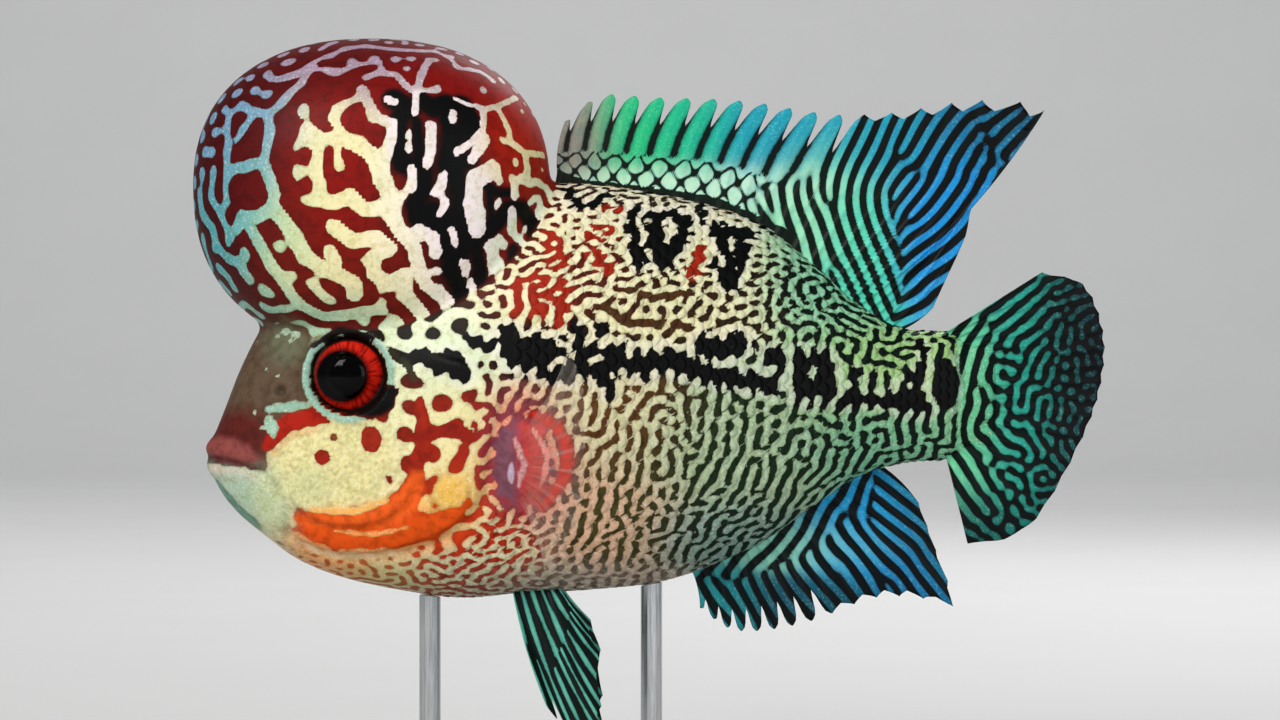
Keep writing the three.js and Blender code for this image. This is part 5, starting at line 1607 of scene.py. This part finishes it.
# number of the ray, x and z of its root, x and z of its tip
PELVIC = [(0, -5.0, 36.8, 0.0, 20.4), (1, -3.9, 36.8, 6.9, 10.6), (2, -2.5, 36.8, 7.8, 15.5),
          (3, -1.1, 36.8, 7.6, 20.4), (4, 0.1, 36.8, 7.3, 26.7), (5, 1.3, 36.9, 5.9, 30.9)]


def sloped_rays(side, root_y, tip_y, bow):
    """The rays of a pelvic fin, which hangs outwards from the belly."""
    base = flat_rays(PELVIC, ((0,), (bow,)))

    def rays(index):
        ray = base(index)
        ray["root"][:, 1], ray["tip"][:, 1] = side * root_y, side * tip_y
        face = np.array([0.0, 0.93 * side, 0.36])
        ray["normal"] = np.tile(face / np.linalg.norm(face), (len(index), 1))
        ray["wave"] = 0.25 * np.sin(index * 1.7)
        return ray
    return rays


for word, side in SIDES.items():
    piece, points, index, height = fin_sheet(
        f"pelvic_fin_{word}_skin", striped, sloped_rays(side, 2.6, 8.2, 0.03), spines=1, soft_notch=0.93,
        rows=44, per_ray=12, sink=1.6, ray_half=(0.62, 0.2), web_half=(0.34, 0.15))
    branch = np.cos(2 * np.pi * index * (1 + (height > 0.45)))
    dress_fin(piece, points, index, height, -branch * 0.9 + 0.35 + 0.25 * np.sin(height * 14 + index * 2))
    put_points(piece, bend_tail(points))
    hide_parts(f"pelvic_fin_{word}")
    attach(piece, "root")
    print(piece.name, "faces:", len(piece.data.polygons))

# %% [markdown]
# The pectoral fins have no pigment. Their web is clear film, with a reddish tint where blood runs at the
# root, so the flank shows through. Alpha is enough for so thin a film, and it costs less than refraction.

# %% Pectoral fins
PECTORAL = {"rays": 11, "x": -3.6, "top": 57.0, "bottom": 49.6, "away": 66, "first": 36, "last": -46}


def fanned_rays(side):
    """The rays of a pectoral fin, a fan held out from the flank."""
    def rays(index):
        share = index / PECTORAL["rays"]
        x, z = PECTORAL["x"], PECTORAL["top"] + (PECTORAL["bottom"] - PECTORAL["top"]) * share
        away = math.radians(PECTORAL["away"])
        out = np.array([math.cos(away), side * math.sin(away), 0.0])
        up = np.array([0.0, 0.0, 1.0])
        root = np.column_stack([np.full(len(index), x), side * (half_width_at(x, z) - 0.4), z])
        angle = np.radians(PECTORAL["first"] + (PECTORAL["last"] - PECTORAL["first"]) * share)
        long = 24 + (14 - 24) * np.clip(np.abs(share - 0.25) / 0.75, 0, 1) ** 1.5
        way = out * np.cos(angle)[:, None] + up * np.sin(angle)[:, None]
        face = np.cross(out, up)
        return {"root": root, "tip": root + way * long[:, None], "bow": face * (side * 0.05 * long)[:, None],
                "normal": np.tile(face, (len(index), 1)), "wave": 0.15 * np.sin(index * 1.9),
                "last": PECTORAL["rays"]}
    return rays


def clear_material():
    """Clear film over faint jointed rays."""
    shop = Shop("clear_fin")
    height = shop.attribute("height")
    on_ray = abs(shop.attribute("ray").fraction() - 0.5).step(0.36, 0.5)
    root = height.step(0.35, 0.0)
    colour = shop.mix(root, (0.62, 0.55, 0.48), (0.55, 0.09, 0.07))
    alpha = on_ray * 0.13 + root * 0.1 + 0.05 + (shop.noise(1.5, 2) - 0.5) * 0.08
    relief = on_ray * 0.7 + (height * 110.0).sine() * on_ray * 0.25 + shop.noise(0.4, 2) * 0.2
    return shop.finish(Base_Color=colour, Alpha=alpha, Roughness=0.3 + on_ray * 0.1,
                       Normal=shop.bump(relief, 0.12, 0.6), Coat_Weight=0.3, Coat_Roughness=0.1)


clear = clear_material()
for word, side in SIDES.items():
    piece, points, index, height = fin_sheet(
        f"pectoral_fin_{word}_skin", clear, fanned_rays(side), spines=0, soft_notch=0.95, rows=36,
        per_ray=10, sink=2.0, ray_half=(0.55, 0.16), web_half=(0.22, 0.1))
    dress_fin(piece, points, index, height, np.zeros(len(index)))
    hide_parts(f"pectoral_fin_{word}")
    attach(piece, "root")
    print(piece.name, "faces:", len(piece.data.polygons))

# %% [markdown]
# The eye is a ball set low in its rim. A wide black pupil fills most of a blood-red iris, and a dark edge
# parts the iris from the pale ring of the skin. The pupil and the streaks of the iris are drawn from how
# far a point lies from the middle, and at what angle, so both are stored on the ball.


# %% Eyes
def eye_place(side, centre_y):
    """A flattened ball whose front bulges over the pupil, with a shallow groove round it."""
    def place(turn, along):
        tilt = along * np.pi
        across = EYE["radius"] * np.sin(tilt)
        front = np.cos(tilt) > 0
        lens = np.where(front, 0.35 * ease(3.1, 2.3, across), 0)
        dip = np.where(front, 0.12 * np.exp(-(((across - 3.7) / 0.6) ** 2)), 0)
        angle = turn * 2 * np.pi
        return np.column_stack([EYE["x"] + across * np.cos(angle),
                                centre_y + side * (EYE["depth"] * np.cos(tilt) + lens - dip),
                                EYE["z"] + across * np.sin(angle)])
    return place


def eye_material():
    """A polished ball: black pupil, streaked red iris and dark edge."""
    shop = Shop("red_eye")
    far, edge = shop.attribute("far"), shop.attribute("edge")
    place = shop.node("ShaderNodeCombineXYZ", {}, {0: shop.attribute("turn") * 9.0, 1: far * 0.5})
    streak = shop.node("ShaderNodeTexNoise", {"noise_dimensions": "2D"},
                       {"Vector": place, "Scale": 1.0, "Detail": 2.0})
    iris = shop.mix(streak.step(0.35, 0.7), (0.6, 0.016, 0.006), (0.24, 0.005, 0.003))
    iris = shop.mix(far.step(3.3, 4.3), (0.05, 0.001, 0.001), iris)
    colour = shop.mix(far.step(3.3, 3.6), (0.0, 0.0, 0.0), iris)
    colour = shop.mix(edge.step(4.55, 4.8), colour, (0.03, 0.004, 0.003))
    colour = shop.mix(edge.step(4.85, 5.0), colour, (0.003, 0.002, 0.002))
    return shop.finish(Base_Color=colour, Roughness=edge.step(4.4, 4.9, 0.06, 0.25),
                       Normal=shop.bump(streak, 0.03, 0.3), Coat_Weight=0.1, Coat_Roughness=0.02,
                       Specular_IOR_Level=0.05)


eye_gloss = eye_material()
for word, side in SIDES.items():
    middle_y = side * (float(half_width_at(EYE["x"], EYE["z"])) + EYE["proud"] - EYE["depth"])
    points, faces = round_form(72, 48, eye_place(side, middle_y))
    eye = new_piece(f"eye_{word}_ball", points, faces, eye_gloss)
    face_outwards(eye)
    flat_x, flat_z = points[:, 0] - EYE["x"], points[:, 2] - EYE["z"]
    store(eye, "FLOAT", far=np.hypot(flat_x + 0.85, flat_z + 0.1), edge=np.hypot(flat_x, flat_z),
          turn=np.arctan2(flat_z, flat_x))
    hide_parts(f"eye_{word}")
    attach(eye, "root")
    print(eye.name, "stands at", round(middle_y, 2), "mm")

# %% [markdown]
# The stand is quiet: a dark stained board with a satin finish and two brushed steel rods. Its solids are
# already right, so they only take materials. Noise that is stretched along one axis gives the grain of
# the wood and the marks of the brush.


# %% Stand materials
def board_material():
    shop = Shop("stained_board")
    grain = shop.noise(2.2, 4, 0.6, (0.08, 1, 1))
    fine_grain = shop.noise(0.35, 3, 0.6, (0.03, 1, 1))
    colour = shop.mix(grain.step(0.32, 0.68), (0.028, 0.016, 0.01), (0.075, 0.042, 0.024))
    colour = shop.mix(fine_grain.step(0.5, 0.75, 0, 0.5), colour, (0.012, 0.007, 0.005))
    return shop.finish(Base_Color=colour, Roughness=grain * 0.2 + 0.32, Coat_Weight=0.25,
                       Normal=shop.bump(fine_grain, 0.06, 0.5), Coat_Roughness=0.25)


def rod_material():
    shop = Shop("brushed_rod")
    brushed = shop.noise(0.25, 3, 0.6, (1, 1, 0.04))
    colour = shop.mix(brushed.step(0.3, 0.7), (0.42, 0.43, 0.45), (0.62, 0.62, 0.63))
    return shop.finish(Base_Color=colour, Metallic=1.0, Roughness=brushed * 0.2 + 0.2,
                       Normal=shop.bump(brushed, 0.02, 0.4))


board, rod = board_material(), rod_material()
for name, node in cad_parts.items():
    if name.startswith("stand_"):
        node.data.materials.clear()
        node.data.materials.append(board if name == "stand_base" else rod)
        print(name, "takes", node.data.materials[0].name)

# %% [markdown]
# The set is plain: a pale floor that curves up far behind, three large soft lights on the fish and one on
# the backdrop. The main one stands high on the left and gives the hump its form.

# %% Floor and lights
FLOOR_HALF, BEND_START, BEND_RADIUS = 3000, 1600, 700
bend = [(BEND_START + BEND_RADIUS * math.sin(a), BEND_RADIUS - BEND_RADIUS * math.cos(a))
        for a in np.linspace(0, math.pi / 2, 16)]
profile = [(-FLOOR_HALF, 0), *bend, (BEND_START + BEND_RADIUS, FLOOR_HALF)]
floor_points = [(x, y, z) for y, z in profile for x in (-FLOOR_HALF, FLOOR_HALF)]
floor_faces = [(2 * i, 2 * i + 1, 2 * i + 3, 2 * i + 2) for i in range(len(profile) - 1)]


def floor_material():
    shop = Shop("pale_floor")
    colour = shop.mix(shop.noise(60, 2).step(0.3, 0.7), (0.66, 0.66, 0.65), (0.67, 0.67, 0.66))
    return shop.finish(Base_Color=colour, Roughness=0.7)


floor = new_piece("floor", floor_points, floor_faces, floor_material())


def soft_light(name, place, size, power, colour=(1, 1, 1), aim=(0.01, 0, 0.065)):
    """A square lamp at a place in metres, turned towards its aim."""
    data = bpy.data.lights.new(name, "AREA")
    data.size = size
    data.energy = power
    data.color = colour
    lamp = bpy.data.objects.new(name, data)
    lamp.location = place
    lamp.rotation_euler = (Vector(aim) - Vector(place)).to_track_quat("-Z", "Y").to_euler()
    bpy.context.scene.collection.objects.link(lamp)


soft_light("key", (-0.45, -0.75, 0.65), 0.45, 8.5, (1.0, 0.98, 0.95))
soft_light("fill", (0.7, -0.8, 0.3), 0.6, 3.0, (0.92, 0.97, 1.0))
soft_light("rim", (0.3, 0.6, 0.6), 0.4, 3)
soft_light("backdrop", (0, 1.0, 1.3), 1.4, 11, aim=(0, 2.1, 0.35))
world = bpy.data.worlds.new("studio")
world.use_nodes = True
sky = world.node_tree.nodes["Background"]
sky.inputs["Color"].default_value = (0.85, 0.88, 0.92, 1)
sky.inputs["Strength"].default_value = 0.32
bpy.context.scene.world = world
bpy.context.scene.view_settings.view_transform = "Standard"
